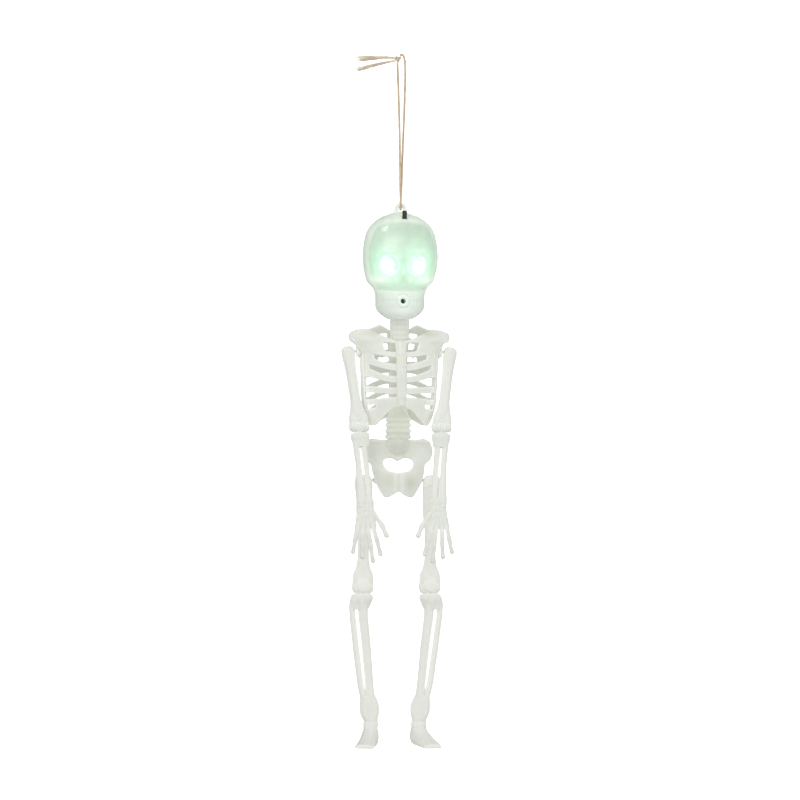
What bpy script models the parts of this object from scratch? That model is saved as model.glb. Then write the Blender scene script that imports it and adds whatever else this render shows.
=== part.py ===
"""Hanging skeleton figure with a light-up skull, as separate named pieces.

Everything is laid out in millimetres. Heights are measured up from the soles, X is the
figure's own left, and Y runs from the face to the back. The row frame's origin is the
point of the hook, just under the top of the twine loop, so every finished piece is moved
down by HANG_HEIGHT and scaled to metres.
"""

import math

import bmesh
import bpy
from mathutils import Matrix, Vector

MM = 0.001
GAP = 0.3  # between two pieces that touch
SIDES = 10  # round a bone
FINE = 16  # round a turned piece

# Heights above the soles
HANG_HEIGHT = 447.0
EYELET_HEIGHT = 347.4
SKULL_TOP = 345.5
LED_HEIGHT = 310.8
MOUTH_HEIGHT = 287.2
SHOULDER_HEIGHT = 255.2
ELBOW_HEIGHT = 206.6
WRIST_HEIGHT = 155.0
HIP_HEIGHT = 171.8
KNEE_HEIGHT = 102.5
ANKLE_HEIGHT = 19.0
PELVIS_TOP = 198.6

# Half spacings, from the middle plane
SHOULDER_X = 33.2
ELBOW_X = 26.6
WRIST_X = 23.4
HIP_X = 21.6
KNEE_X = 21.9
ANKLE_X = 16.4
LED_X = 10.5

# Depths
SHOULDER_Y = 1.0
HIP_Y = 3.0
KNEE_Y = 5.4
ANKLE_Y = 8.0
ARM_TILT = math.radians(13)  # the arms hang a little forward
RIB_SEAM_Y = 1.0  # where the two halves of the ribcage meet
SEAM_Y = -1.45  # where the two halves of the skull meet

# Skull
SKULL_CENTRE = Vector((0, 0, 313))
SKULL_INSIDE = (0.935, 0.93, 0.954)  # the hollow, as a share of the outside
# height, half width, reach forward, reach back
SKULL_RINGS = [
    (276.0, 7.6, 16.5, 8.6),
    (277.5, 10.2, 18.2, 9.5),
    (280.0, 13.6, 19.6, 10.5),
    (283.0, 15.6, 20.6, 11.5),
    (288.0, 16.0, 21.0, 13.0),
    (293.0, 16.4, 20.2, 15.5),
    (296.5, 18.0, 20.4, 18.0),
    (300.0, 21.2, 20.6, 20.5),
    (305.0, 22.9, 20.4, 22.5),
    (311.0, 24.0, 20.8, 23.6),
    (316.0, 24.4, 21.8, 24.0),
    (321.0, 24.3, 21.2, 24.0),
    (327.5, 23.4, 20.3, 23.3),
    (332.9, 21.8, 18.8, 22.0),
    (337.7, 18.6, 16.3, 19.5),
    (341.5, 13.7, 12.5, 15.0),
    (344.6, 6.5, 6.0, 7.0),
    (SKULL_TOP, 2.0, 2.0, 2.0),
]
SKULL_SIDES = 24
SOCKET = Vector((9.8, -21.5, 309.8))
SOCKET_RADII = (7.2, 5.2, 7.2)
WALL = 1.4
BOARD_FRONT = -8.2
BOARD_THICK = 1.2
BOARD_SCREW = (14.0, 325.0)
SWITCH_X = 1.3
KNOB_TRAVEL = 2.0
KNOB_Y = -11.6  # the lamps are on with the knob forward
CELL_RADIUS = 5.8
CELL_LENGTH = 5.2
CELL_Y = 0.6

# Neck
NECK_RADIUS = 6.4
FLANGE_RADIUS = 8.2
FLANGE_LOW = 279.5
FLANGE_HIGH = 281.5
NECK_HOLE = 6.8

# Pins
PIN_RADIUS = 0.95
BORE_RADIUS = 1.2

# Twine
CORD_DIAMETER = 1.5

IVORY = (0.80, 0.83, 0.72, 1)
SHELL = (0.78, 0.88, 0.76, 1)
DARK = (0.02, 0.02, 0.02, 1)
BOARD_GREEN = (0.05, 0.22, 0.10, 1)
STEEL = (0.62, 0.62, 0.60, 1)
LENS = (0.92, 0.96, 1.0, 1)
TWINE = (0.62, 0.50, 0.34, 1)


def clear_scene():
    for item in list(bpy.data.objects):
        bpy.data.objects.remove(item)


def material(name, colour, roughness, metallic=0.0):
    made = bpy.data.materials.get(name)
    if made:
        return made
    made = bpy.data.materials.new(name)
    made.use_nodes = True
    shader = made.node_tree.nodes["Principled BSDF"]
    shader.inputs["Base Color"].default_value = colour
    shader.inputs["Roughness"].default_value = roughness
    shader.inputs["Metallic"].default_value = metallic
    return made


# ---- mesh tools, in millimetres ----


def shape(bm):
    """A scene object from a bmesh, with its faces turned outwards."""
    bmesh.ops.recalc_face_normals(bm, faces=bm.faces)
    mesh = bpy.data.meshes.new("shape")
    bm.to_mesh(mesh)
    bm.free()
    made = bpy.data.objects.new("shape", mesh)
    bpy.context.scene.collection.objects.link(made)
    return made


def skin(rings):
    """A closed body through rings of equally many points, with flat ends."""
    bm = bmesh.new()
    rows = [[bm.verts.new(p) for p in ring] for ring in rings]
    count = len(rows[0])
    for low, high in zip(rows, rows[1:]):
        for i in range(count):
            j = (i + 1) % count
            bm.faces.new((low[i], low[j], high[j], high[i]))
    bm.faces.new(rows[0])
    bm.faces.new(rows[-1])
    return shape(bm)


def oval(centre, along_a, along_b, a, b, sides=SIDES):
    """An ellipse round centre, its half axes a and b along two directions."""
    points = []
    for i in range(sides):
        turn = 2 * math.pi * (i + 0.5) / sides
        points.append(centre + along_a * (a * math.cos(turn)) + along_b * (b * math.sin(turn)))
    return points


def bone(top, end, stations, sides=SIDES):
    """A body along the line from top to end, through ovals square to that line.

    A station is its distance from top, half width, half depth and sideways shift.
    """
    axis = (end - top).normalized()
    wide = Vector((1, 0, 0))
    wide = (wide - axis * wide.dot(axis)).normalized()
    deep = axis.cross(wide).normalized()
    if deep.y < 0:
        deep = -deep
    rings = []
    for along, a, b, shift in stations:
        rings.append(oval(top + axis * along + wide * shift, wide, deep, a, b, sides))
    return skin(rings)


def tube(points, radii, sides=8):
    """A round body along points, with a radius at each."""
    rings = []
    for i, point in enumerate(points):
        before = points[max(i - 1, 0)]
        after = points[min(i + 1, len(points) - 1)]
        axis = (after - before).normalized()
        wide = Vector((1, 0, 0))
        wide = (wide - axis * wide.dot(axis)).normalized()
        deep = axis.cross(wide)
        rings.append(oval(point, wide, deep, radii[i], radii[i], sides))
    return skin(rings)


def rod(start, end, radius, sides=FINE):
    """A straight cylinder from start to end."""
    start, end = Vector(start), Vector(end)
    axis = (end - start).normalized()
    wide = axis.orthogonal().normalized()
    deep = axis.cross(wide)
    rings = [oval(p, wide, deep, radius, radius, sides) for p in (start, end)]
    return skin(rings)


def turned(start, end, steps, sides=FINE):
    """A turned piece along start to end: steps are (distance, radius) pairs."""
    start, end = Vector(start), Vector(end)
    axis = (end - start).normalized()
    wide = axis.orthogonal().normalized()
    deep = axis.cross(wide)
    return skin([oval(start + axis * d, wide, deep, r, r, sides) for d, r in steps])


def block(low, high):
    """A box between two corners."""
    low, high = Vector(low), Vector(high)
    bm = bmesh.new()
    size = high - low
    matrix = Matrix.Translation((low + high) / 2) @ Matrix.Diagonal((*size, 1))
    bmesh.ops.create_cube(bm, size=1, matrix=matrix)
    return shape(bm)


def ball(centre, radii, rings=8, sides=16):
    """An ellipsoid."""
    bm = bmesh.new()
    matrix = Matrix.Translation(centre) @ Matrix.Diagonal((*radii, 1))
    bmesh.ops.create_uvsphere(bm, u_segments=sides, v_segments=rings, radius=1, matrix=matrix)
    return shape(bm)


def slab(outline, y_low, y_high):
    """An outline of (x, z) points, extruded along Y."""
    rings = [[Vector((x, y, z)) for x, z in outline] for y in (y_low, y_high)]
    return skin(rings)


def boolean(target, operation, tools):
    """Joins, cuts or intersects target with each tool, and uses the tools up."""
    for tool in tools:
        step = target.modifiers.new("step", "BOOLEAN")
        step.operation = operation
        step.solver = "EXACT"
        step.object = tool
    bpy.context.view_layer.update()
    graph = bpy.context.evaluated_depsgraph_get()
    mesh = bpy.data.meshes.new_from_object(target.evaluated_get(graph))
    target.modifiers.clear()
    target.data = mesh
    for tool in tools:
        bpy.data.objects.remove(tool)
    return target


def join(target, *tools):
    return boolean(target, "UNION", tools)


def cut(target, *tools):
    return boolean(target, "DIFFERENCE", tools)


def common(target, *tools):
    return boolean(target, "INTERSECT", tools)


def copy(item):
    made = bpy.data.objects.new("shape", item.data.copy())
    bpy.context.scene.collection.objects.link(made)
    return made


def thicken(bm, thickness):
    """A closed plate from an open sheet, thickness towards its back."""
    bmesh.ops.recalc_face_normals(bm, faces=bm.faces)
    sheet = shape(bm)
    step = sheet.modifiers.new("thickness", "SOLIDIFY")
    step.thickness = thickness
    step.offset = 0
    step.use_even_offset = True
    bpy.context.view_layer.update()
    graph = bpy.context.evaluated_depsgraph_get()
    mesh = bpy.data.meshes.new_from_object(sheet.evaluated_get(graph))
    sheet.modifiers.clear()
    sheet.data = mesh
    return sheet


# ---- finished pieces, in metres ----

pivots = {}


def pivot(name, x, y, z):
    """An empty on a joint's axis, which carries the pieces that turn with it."""
    made = bpy.data.objects.new("pivot_" + name, None)
    made.empty_display_size = 0.005
    made.location = Vector((x, y, z - HANG_HEIGHT)) * MM
    bpy.context.scene.collection.objects.link(made)
    pivots[name] = made
    return made


def piece(name, item, finish, on=None):
    """Names a finished shape, scales it to metres and hangs it on its pivot."""
    origin = on.location if on else Vector((0, 0, 0))
    down = Matrix.Translation((0, 0, -HANG_HEIGHT))
    to_metres = Matrix.Translation(-origin) @ Matrix.Scale(MM, 4) @ down
    item.data.transform(to_metres)
    item.data.materials.clear()
    item.data.materials.append(finish)
    item.data.shade_smooth()
    item.data.set_sharp_from_angle(angle=math.radians(38))
    item.name = name
    item.data.name = name
    item.parent = on
    return item


# ---- skull ----


def skull_ring(height, wide, front, back):
    points = []
    for i in range(SKULL_SIDES):
        turn = 2 * math.pi * (i + 0.5) / SKULL_SIDES
        reach = back if math.sin(turn) > 0 else front
        points.append(Vector((wide * math.cos(turn), reach * math.sin(turn), height)))
    return points


def skull_outside():
    return skin([skull_ring(*row) for row in SKULL_RINGS])


def skull_inside():
    """The hollow: the outside, drawn in towards the skull's middle."""
    inner = skull_outside()
    about = Matrix.Translation(SKULL_CENTRE)
    shrink = Matrix.Diagonal((*SKULL_INSIDE, 1))
    inner.data.transform(about @ shrink @ about.inverted())
    return inner


def neck_collar():
    """The ring round the neck hole that the neck's flange rests on."""
    return rod((0, 0, 270), (0, 0, FLANGE_LOW - GAP), FLANGE_RADIUS, 24)


def socket(side, extra):
    centre = Vector((side * SOCKET.x, SOCKET.y, SOCKET.z))
    return ball(centre, [r + extra for r in SOCKET_RADII])


def mouth_post():
    """The boss that the skull's screw runs through, front to back."""
    return rod((0, -24, MOUTH_HEIGHT), (0, 16, MOUTH_HEIGHT), 3.9)


def board_post(side):
    x, z = side * BOARD_SCREW[0], BOARD_SCREW[1]
    return rod((x, -24, z), (x, BOARD_FRONT - GAP, z), 2.3, 12)


def nose_recess():
    """A pear-shaped hollow, narrow at the top."""
    outline = [(-2.5, 297.4), (0, 298.4), (2.5, 297.4), (2.0, 300.5), (0.7, 303.8), (-0.7, 303.8)]
    outline.append((-2.0, 300.5))
    return slab(outline, -24, -20.0)


def skull_solid():
    """Both halves of the skull as one hollow body, with posts, sockets and bores."""
    bowls = [socket(side, WALL) for side in (-1, 1)]
    posts = [mouth_post(), neck_collar(), board_post(-1), board_post(1)]
    hollow = cut(skull_inside(), *bowls, *posts)
    body = cut(skull_outside(), hollow)
    holes = [socket(side, 0) for side in (-1, 1)]
    for side in (-1, 1):
        x = side * LED_X
        holes.append(rod((x, -26, LED_HEIGHT), (x, -13, LED_HEIGHT), 2.9))
        x, z = side * BOARD_SCREW[0], BOARD_SCREW[1]
        holes.append(rod((x, -14, z), (x, -6, z), 1.0, 12))
    holes.append(rod((0, 0, 270), (0, 0, 284), NECK_HOLE, 24))
    holes.append(rod((0, -26, MOUTH_HEIGHT), (0, -12, MOUTH_HEIGHT), 1.7))
    holes.append(rod((0, -12.5, MOUTH_HEIGHT), (0, 6, MOUTH_HEIGHT), 1.2))
    low_y = KNOB_Y - 1.5 - GAP
    high_y = KNOB_Y + KNOB_TRAVEL + 1.5 + GAP
    holes.append(block((SWITCH_X - 1.4 - GAP, low_y, 337), (SWITCH_X + 1.4 + GAP, high_y, 350)))
    holes.append(nose_recess())
    return cut(body, *holes)


def eyelet():
    """The round lug on top of the rear half, with the hole that the twine runs through."""
    low_y, high_y = SEAM_Y + GAP / 2, 1.5
    lug = rod((0, low_y, EYELET_HEIGHT), (0, high_y, EYELET_HEIGHT), 4.0, 24)
    foot = block((-4.0, low_y, 343.4), (4.0, high_y, EYELET_HEIGHT))
    return join(lug, foot)


def skull_shells():
    whole = skull_solid()
    finish = material("skull_plastic", SHELL, 0.35)
    front = common(copy(whole), block((-40, -40, 260), (40, SEAM_Y - GAP / 2, 360)))
    rear = common(whole, block((-40, SEAM_Y + GAP / 2, 260), (40, 40, 360)))
    join(rear, eyelet())
    hole = rod((0, -6, EYELET_HEIGHT), (0, 6, EYELET_HEIGHT), 1.6, 16)
    cut(rear, hole)
    piece("skull_front_shell", front, finish)
    piece("skull_rear_shell", rear, finish)


def led(side, name):
    """A 5 mm lamp: two legs, a flange and a domed lens."""
    x = side * LED_X
    steps = [(0, 2.9), (1.0, 2.9), (1.0, 2.5), (6.3, 2.5), (7.6, 2.05), (8.4, 1.1)]
    lamp = turned((x, BOARD_FRONT - 1.3, LED_HEIGHT), (x, -30, LED_HEIGHT), steps, 16)
    for shift in (-1.27, 1.27):
        low = (x + shift - 0.25, BOARD_FRONT - 1.5, LED_HEIGHT - 0.25)
        high = (x + shift + 0.25, BOARD_FRONT - GAP, LED_HEIGHT + 0.25)
        join(lamp, block(low, high))
    piece(name, lamp, material("led_lens", LENS, 0.1))


def circuit_board():
    outline = [(-17, 303), (17, 303), (17, 326), (9, 337), (-9, 337), (-17, 326)]
    board = slab(outline, BOARD_FRONT, BOARD_FRONT + BOARD_THICK)
    for side in (-1, 1):
        x, z = side * BOARD_SCREW[0], BOARD_SCREW[1]
        cut(board, rod((x, -12, z), (x, -4, z), 1.0, 12))
    piece("circuit_board", board, material("board", BOARD_GREEN, 0.5))


def board_screw(side, name):
    x, z = side * BOARD_SCREW[0], BOARD_SCREW[1]
    back = BOARD_FRONT + BOARD_THICK
    steps = [(0, 1.1), (0.4, 1.7), (1.2, 1.7), (1.2, 0.7), (7.0, 0.7)]
    screw = turned((x, back + GAP + 1.2, z), (x, -30, z), steps, 12)
    piece(name, screw, material("steel", STEEL, 0.3, 1.0))


def skull_screw():
    steps = [(0, 1.2), (0.5, 1.55), (1.4, 1.55), (1.4, 0.9), (15.0, 0.9), (16.5, 0.4)]
    start = (0, -12 - GAP - 1.4, MOUTH_HEIGHT)
    screw = turned(start, (0, 30, MOUTH_HEIGHT), steps, 12)
    slot = block((-1.3, start[1] - 1, MOUTH_HEIGHT - 0.2), (1.3, start[1] + 0.5, MOUTH_HEIGHT + 0.2))
    cut(screw, slot)
    piece("skull_screw", screw, material("dark_steel", DARK, 0.4, 0.6))


def switch_body():
    back = BOARD_FRONT - GAP
    body = block((SWITCH_X - 3.4, -14.0, 331), (SWITCH_X + 3.4, back, 337.0))
    low_y = KNOB_Y - 1.25 - GAP
    well = block((SWITCH_X - 1.4 - GAP, low_y, 334.5), (SWITCH_X + 1.4 + GAP, back + 2, 340))
    cut(body, well)
    piece("switch_body", body, material("switch_case", DARK, 0.5))


def switch_knob():
    on = pivot("switch", SWITCH_X, KNOB_Y, 341)
    x, y = SWITCH_X, KNOB_Y
    cap = block((x - 1.4, y - 1.45, 338.6), (x + 1.4, y + 1.45, 345.8))
    stem = block((x - 1.4, y - 0.9, 335.2), (x + 1.4, y + 0.9, 339.2))
    join(cap, stem)
    piece("switch_knob", cap, material("knob", DARK, 0.45), on)


def battery_holder():
    """An open trough on the back of the board for three button cells in a row."""
    front = BOARD_FRONT + BOARD_THICK + GAP
    low, high = LED_HEIGHT - 7.4, LED_HEIGHT + 7.4
    body = block((-12, front, low), (12, CELL_Y + 4.5, high))
    trough = rod((-10.8, CELL_Y, LED_HEIGHT), (10.8, CELL_Y, LED_HEIGHT), CELL_RADIUS + GAP, 24)
    mouth = block((-10.8, CELL_Y, LED_HEIGHT - 5.4), (10.8, CELL_Y + 9, LED_HEIGHT + 5.4))
    cut(body, trough, mouth)
    piece("battery_holder", body, material("holder", DARK, 0.5))


def battery_cells():
    finish = material("cell_steel", STEEL, 0.25, 1.0)
    pitch = CELL_LENGTH + GAP
    for number in range(3):
        x = (number - 1) * pitch - CELL_LENGTH / 2
        steps = [(0, 4.6), (0.6, 4.6), (0.6, CELL_RADIUS), (CELL_LENGTH, CELL_RADIUS)]
        start = (x, CELL_Y, LED_HEIGHT)
        cell = turned(start, (x + 10, CELL_Y, LED_HEIGHT), steps, 18)
        piece(f"battery_cell_{number + 1}", cell, finish)


def battery_contact(side, name):
    """A sprung plate at one end of the row of cells, with a raised contact."""
    low, high = LED_HEIGHT - 3.5, LED_HEIGHT + 3.5
    inner, outer = sorted((side * 10.0, side * 10.5))
    plate = block((inner, CELL_Y - 3.5, low), (outer, CELL_Y + 4.0, high))
    steps = [(0, 3.0), (0.5, 3.0), (1.5, 1.6)]
    start = (side * 10.2, CELL_Y, LED_HEIGHT)
    raised = turned(start, (0, CELL_Y, LED_HEIGHT), steps, 12)
    piece(name, join(plate, raised), material("contact", STEEL, 0.3, 1.0))


# ---- twine ----

EYE_MIDDLE = Vector((0, 0, EYELET_HEIGHT))
KNOT = Vector((-3.0, 0.2, 444.6))
# The strand to the knot leaves the eyelet at the front, the other one at the back.
FRONT_ROUTE = [
    (0, -0.4, 347.2), (-0.05, -2.0, 347.6), (-0.1, -3.1, 349.2), (-0.2, -2.9, 352.0),
    (-0.4, -1.9, 358.0), (-0.6, -1.2, 368.0), (-0.8, -1.0, 382.0), (-1.1, -0.9, 396.0),
    (-1.6, -0.8, 410.0), (-2.1, -0.5, 424.0), (-2.6, -0.1, 436.0), (-2.85, 0.15, 442.2),
]
BACK_ROUTE = [
    (0, 0.4, 347.2), (0.05, 2.0, 347.6), (0.1, 3.0, 349.2), (0.25, 2.8, 352.0),
    (0.5, 2.0, 358.0), (0.8, 1.3, 368.0), (1.1, 1.0, 382.0), (1.5, 0.8, 396.0),
    (1.9, 0.6, 410.0), (2.2, 0.4, 424.0), (2.3, 0.2, 436.0), (1.9, 0.0, 443.5),
    (0.9, 0.0, 446.9), (-0.4, 0.0, 447.7), (-1.3, 0.1, 446.9),
]
UPPER_TAIL = [(-5.2, 0.2, 445.2), (-9, 0.1, 445.6), (-16, -0.2, 445.2), (-24, -0.4, 444.6),
              (-31.5, -0.4, 443.9)]
LOWER_TAIL = [(-5.0, 0.6, 443.4), (-9, 0.8, 442.8), (-16, 0.6, 440.9), (-24, 0.2, 438.8),
              (-31.5, 0.0, 437.6)]


def smooth_route(points, spacing):
    """Evenly spaced points on a smooth curve through the route's own points."""
    route = [Vector(p) for p in points]
    fine = []
    for i in range(len(route) - 1):
        before = route[max(i - 1, 0)]
        here, there = route[i], route[i + 1]
        after = route[min(i + 2, len(route) - 1)]
        for step in range(12):
            t = step / 12
            bend = (there - before) * t + (before * 2 - here * 5 + there * 4 - after) * t * t
            bend += (here * 3 - before - there * 3 + after) * t * t * t
            fine.append(here + bend / 2)
    fine.append(route[-1])
    lengths = [0.0]
    for a, b in zip(fine, fine[1:]):
        lengths.append(lengths[-1] + (b - a).length)
    count = max(2, round(lengths[-1] / spacing))
    even, at = [], 0
    for k in range(count + 1):
        want = lengths[-1] * k / count
        while at < len(lengths) - 2 and lengths[at + 1] < want:
            at += 1
        share = (want - lengths[at]) / (lengths[at + 1] - lengths[at])
        even.append(fine[at].lerp(fine[at + 1], share))
    return even


def cord(name, route, diameter, spacing):
    """A round cord on a poly curve, with closed ends."""
    curve = bpy.data.curves.new(name, "CURVE")
    curve.dimensions = "3D"
    curve.bevel_depth = diameter / 2 * MM
    curve.bevel_resolution = 2
    curve.use_fill_caps = True
    spline = curve.splines.new("POLY")
    points = smooth_route(route, spacing)
    spline.points.add(len(points) - 1)
    for slot, point in zip(spline.points, points):
        place = (point - Vector((0, 0, HANG_HEIGHT))) * MM
        slot.co = (*place, 1)
    made = bpy.data.objects.new(name, curve)
    curve.materials.append(material("twine", TWINE, 0.9))
    bpy.context.scene.collection.objects.link(made)


def knot():
    lump = ball(KNOT, (1.9, 1.7, 1.9), 8, 12)
    piece("cord_knot", lump, material("twine", TWINE, 0.9))


def twine():
    cord("hang_cord_front", FRONT_ROUTE, CORD_DIAMETER, 3.4)
    cord("hang_cord_back", BACK_ROUTE, CORD_DIAMETER, 3.4)
    knot()
    cord("cord_tail_upper", UPPER_TAIL, 1.3, 3.4)
    cord("cord_tail_lower", LOWER_TAIL, 1.3, 3.4)


# ---- torso ----

# height, depth of the column's middle, half width, half depth
SPINE_RINGS = [
    (283.3, 0, NECK_RADIUS, NECK_RADIUS),
    (FLANGE_HIGH, 0, NECK_RADIUS, NECK_RADIUS),
    (FLANGE_HIGH, 0, FLANGE_RADIUS, FLANGE_RADIUS),
    (FLANGE_LOW, 0, FLANGE_RADIUS, FLANGE_RADIUS),
    (FLANGE_LOW, 0, NECK_RADIUS, NECK_RADIUS),
    (268.0, 0, NECK_RADIUS, NECK_RADIUS),
    (262.0, 0.3, 6.5, 6.3),
    (257.5, 2.4, 6.2, 5.4),
    (252.0, 5.2, 6.0, 4.4),
    (246.0, 6.2, 6.0, 4.0),
    (222.0, 6.2, 6.0, 4.0),
    (216.0, 4.4, 6.2, 4.0),
]
LUMBAR_TOP = 213.0
LUMBAR_Y = 3.0
LUMBAR_PITCH = 3.75
LUMBAR_BUMPS = 4


def spine():
    """Neck post with its flange, backbone and the ribbed lumbar column."""
    rows = list(SPINE_RINGS)
    for bump in range(LUMBAR_BUMPS):
        high = LUMBAR_TOP - bump * LUMBAR_PITCH
        rows.append((high, LUMBAR_Y, 7.3, 4.3))
        rows.append((high - 1.0, LUMBAR_Y, 8.6, 4.9))
        rows.append((high - 2.5, LUMBAR_Y, 8.6, 4.9))
    rows.append((PELVIS_TOP + GAP, LUMBAR_Y, 7.3, 4.3))
    side, back = Vector((1, 0, 0)), Vector((0, 1, 0))
    rings = [oval(Vector((0, y, z)), side, back, a, b, FINE) for z, y, a, b in rows]
    piece("spine", skin(rings), material("bone_plastic", IVORY, 0.4), pivots["neck"])


def blend(table, value):
    """Reads a smooth curve through a few (position, value) pairs."""
    for (x0, y0), (x1, y1) in zip(table, table[1:]):
        if value <= x1:
            share = max(0.0, (value - x0) / (x1 - x0))
            share = share * share * (3 - 2 * share)
            return y0 + (y1 - y0) * share
    return table[-1][1]


def straight(table, value):
    """Reads a straight-line curve through a few (position, value) pairs."""
    for (x0, y0), (x1, y1) in zip(table, table[1:]):
        if value <= x1:
            return y0 + (y1 - y0) * max(0.0, (value - x0) / (x1 - x0))
    return table[-1][1]


RIB_HALF_WIDTH = [(208, 20.3), (214, 23.0), (222, 24.8), (238, 25.6), (254, 26.6), (259, 30.6),
                  (263, 33.6), (266, 33.8), (268, 32.6), (270, 29.5), (273, 25.0)]
FRONT_DEPTH = [(206, 13.5), (222, 15.0), (240, 14.6), (252, 12.6), (262, 10.2), (269, 8.0)]
REAR_DEPTH = [(206, 11.5), (240, 11.9), (256, 11.6), (264, 9.6), (273, 6.0)]
RIB_PLATE = 2.0
# Across the ribcage, from the middle to the side, as shares of the half width
RIB_COLUMNS = [0, 0.12, 0.225, 0.38, 0.50, 0.67, 0.80, 0.92, 1.0]
# Each row: its height at the breastbone and at the side
FRONT_ROWS = [
    None,
    (260.4, 262.4),
    (254.5, 257.5),
    (251.1, 254.0),
    (246.8, 252.0),
    (242.3, 246.8),
    (238.7, 244.1),
    (234.7, 238.4),
    (231.7, 232.7),
    (227.4, 228.4),
    (225.7, 224.2),
    (222.6, 220.4),
    (221.2, 218.2),
    None,
]
# Each slot: the row above it, and its first and last column
FRONT_SLOTS = [(1, 1, 3), (3, 1, 5), (5, 1, 6), (7, 1, 7), (9, 1, 7), (11, 5, 7)]
FRONT_TOP = [(0, 261.5), (0.12, 262.0), (0.225, 263.2), (0.38, 265.4), (0.5, 267.6),
             (0.67, 269.2), (0.8, 269.6), (0.92, 269.0), (1, 266.4)]
FRONT_BOTTOM = [(0, 219.6), (0.12, 219.3), (0.225, 218.4), (0.38, 215.6), (0.5, 213.0),
                (0.67, 209.8), (0.8, 207.4), (0.92, 207.3), (1, 209.8)]
REAR_ROWS = [
    None,
    (267.4, 265.2),
    (264.2, 262.6),
    (260.8, 259.2),
    (256.6, 256.2),
    (252.0, 250.8),
    (248.9, 247.8),
    (242.0, 238.0),
    (238.9, 233.4),
    (234.9, 229.4),
    (231.6, 225.6),
    (228.3, 221.6),
    (225.1, 217.8),
    (221.4, 213.4),
    (219.8, 211.8),
    None,
]
REAR_SLOTS = [(1, 2, 3), (3, 2, 3), (5, 2, 4), (7, 2, 7), (9, 2, 7), (11, 2, 7), (13, 2, 5)]
REAR_TOP = [(0, 268.0), (0.12, 268.2), (0.225, 269.6), (0.38, 271.6), (0.5, 272.6),
            (0.67, 269.6), (0.8, 269.6), (0.92, 269.0), (1, 266.8)]
REAR_BOTTOM = [(0, 215.0), (0.12, 214.8), (0.225, 213.6), (0.38, 211.8), (0.5, 210.6),
               (0.67, 208.8), (0.8, 207.4), (0.92, 207.4), (1, 209.6)]


def rib_height(row, share):
    """A row's height at a share of the way to the side; it bends like a rib."""
    middle, side = row
    bend = min(share / 0.8, 1.0) ** 2
    return middle + (side - middle) * bend


def rib_point(share, height, facing, depth):
    """A point on the ribcage: facing is -1 on the front half and 1 on the rear half."""
    half = straight(RIB_HALF_WIDTH, height)
    inset = RIB_PLATE / 2
    sine = min(abs(share), 1.0)
    across = math.copysign((half - inset) * sine, share)
    reach = (straight(depth, height) - inset) * math.sqrt(1 - sine**2)
    past_seam = 0.8 * sine**6  # the plate runs past the seam and is trimmed there
    return Vector((across, RIB_SEAM_Y + facing * (reach - past_seam), height))


def rib_plate(rows, slots, top, bottom, facing, depth):
    """A curved plate of ribs: a sheet of quads with the slots left out, then thickened."""
    shares = [-s for s in RIB_COLUMNS[:0:-1]] + RIB_COLUMNS
    middle = len(RIB_COLUMNS) - 1
    bm = bmesh.new()
    grid = []
    for row in range(len(rows)):
        line = []
        for share in shares:
            if row == 0:
                height = straight(top, abs(share))
            elif row == len(rows) - 1:
                height = straight(bottom, abs(share))
            else:
                height = rib_height(rows[row], abs(share))
            line.append(bm.verts.new(rib_point(share, height, facing, depth)))
        grid.append(line)
    open_cells = {(row, column) for row, first, last in slots for column in range(first, last)}
    for row in range(len(rows) - 1):
        for column in range(len(shares) - 1):
            off = column - middle if column >= middle else middle - 1 - column
            if (row, off) in open_cells:
                continue
            corners = [grid[row][column], grid[row][column + 1]]
            corners += [grid[row + 1][column + 1], grid[row + 1][column]]
            bm.faces.new(corners)
    return thicken(bm, RIB_PLATE)


def shoulder_room(side):
    """The round space that the upper arm turns in, under the shoulder."""
    y, z = SHOULDER_Y, SHOULDER_HEIGHT
    return rod((side * 28.2, y, z), (side * 42, y, z), 6.0, 22)


def breastbone():
    places = [(-8.2, 261.5), (-10.7, 254), (-12.9, 242), (-13.2, 228), (-13.2, 220)]
    return tube([Vector((0, y, z)) for y, z in places], [2.2, 2.8, 2.9, 2.7, 1.6])


def ribcage():
    finish = material("bone_plastic", IVORY, 0.4)
    y, z = SHOULDER_Y, SHOULDER_HEIGHT
    front = rib_plate(FRONT_ROWS, FRONT_SLOTS, FRONT_TOP, FRONT_BOTTOM, -1, FRONT_DEPTH)
    rear = rib_plate(REAR_ROWS, REAR_SLOTS, REAR_TOP, REAR_BOTTOM, 1, REAR_DEPTH)
    front_room = block((-50, -40, 190), (50, RIB_SEAM_Y + GAP / 2, 290))
    join(front_room, shoulder_room(-1), shoulder_room(1))
    cut(front, block((-50, RIB_SEAM_Y - GAP / 2, 190), (50, 40, 290)))
    cut(rear, front_room)
    join(front, breastbone())
    for side in (-1, 1):
        hollow = rod((side * 19.5, y, z), (side * 40, y, z), 3.7 + GAP)
        cut(front, shoulder_room(side), hollow)
        boss = rod((side * 20, y, z), (side * 28.0, y, z), 3.7)
        bore = rod((side * 19, y, z), (side * 40, y, z), BORE_RADIUS)
        join(rear, boss)
        cut(rear, bore)
    piece("ribcage_front", front, finish, pivots["neck"])
    piece("ribcage_rear", rear, finish, pivots["neck"])


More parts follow.
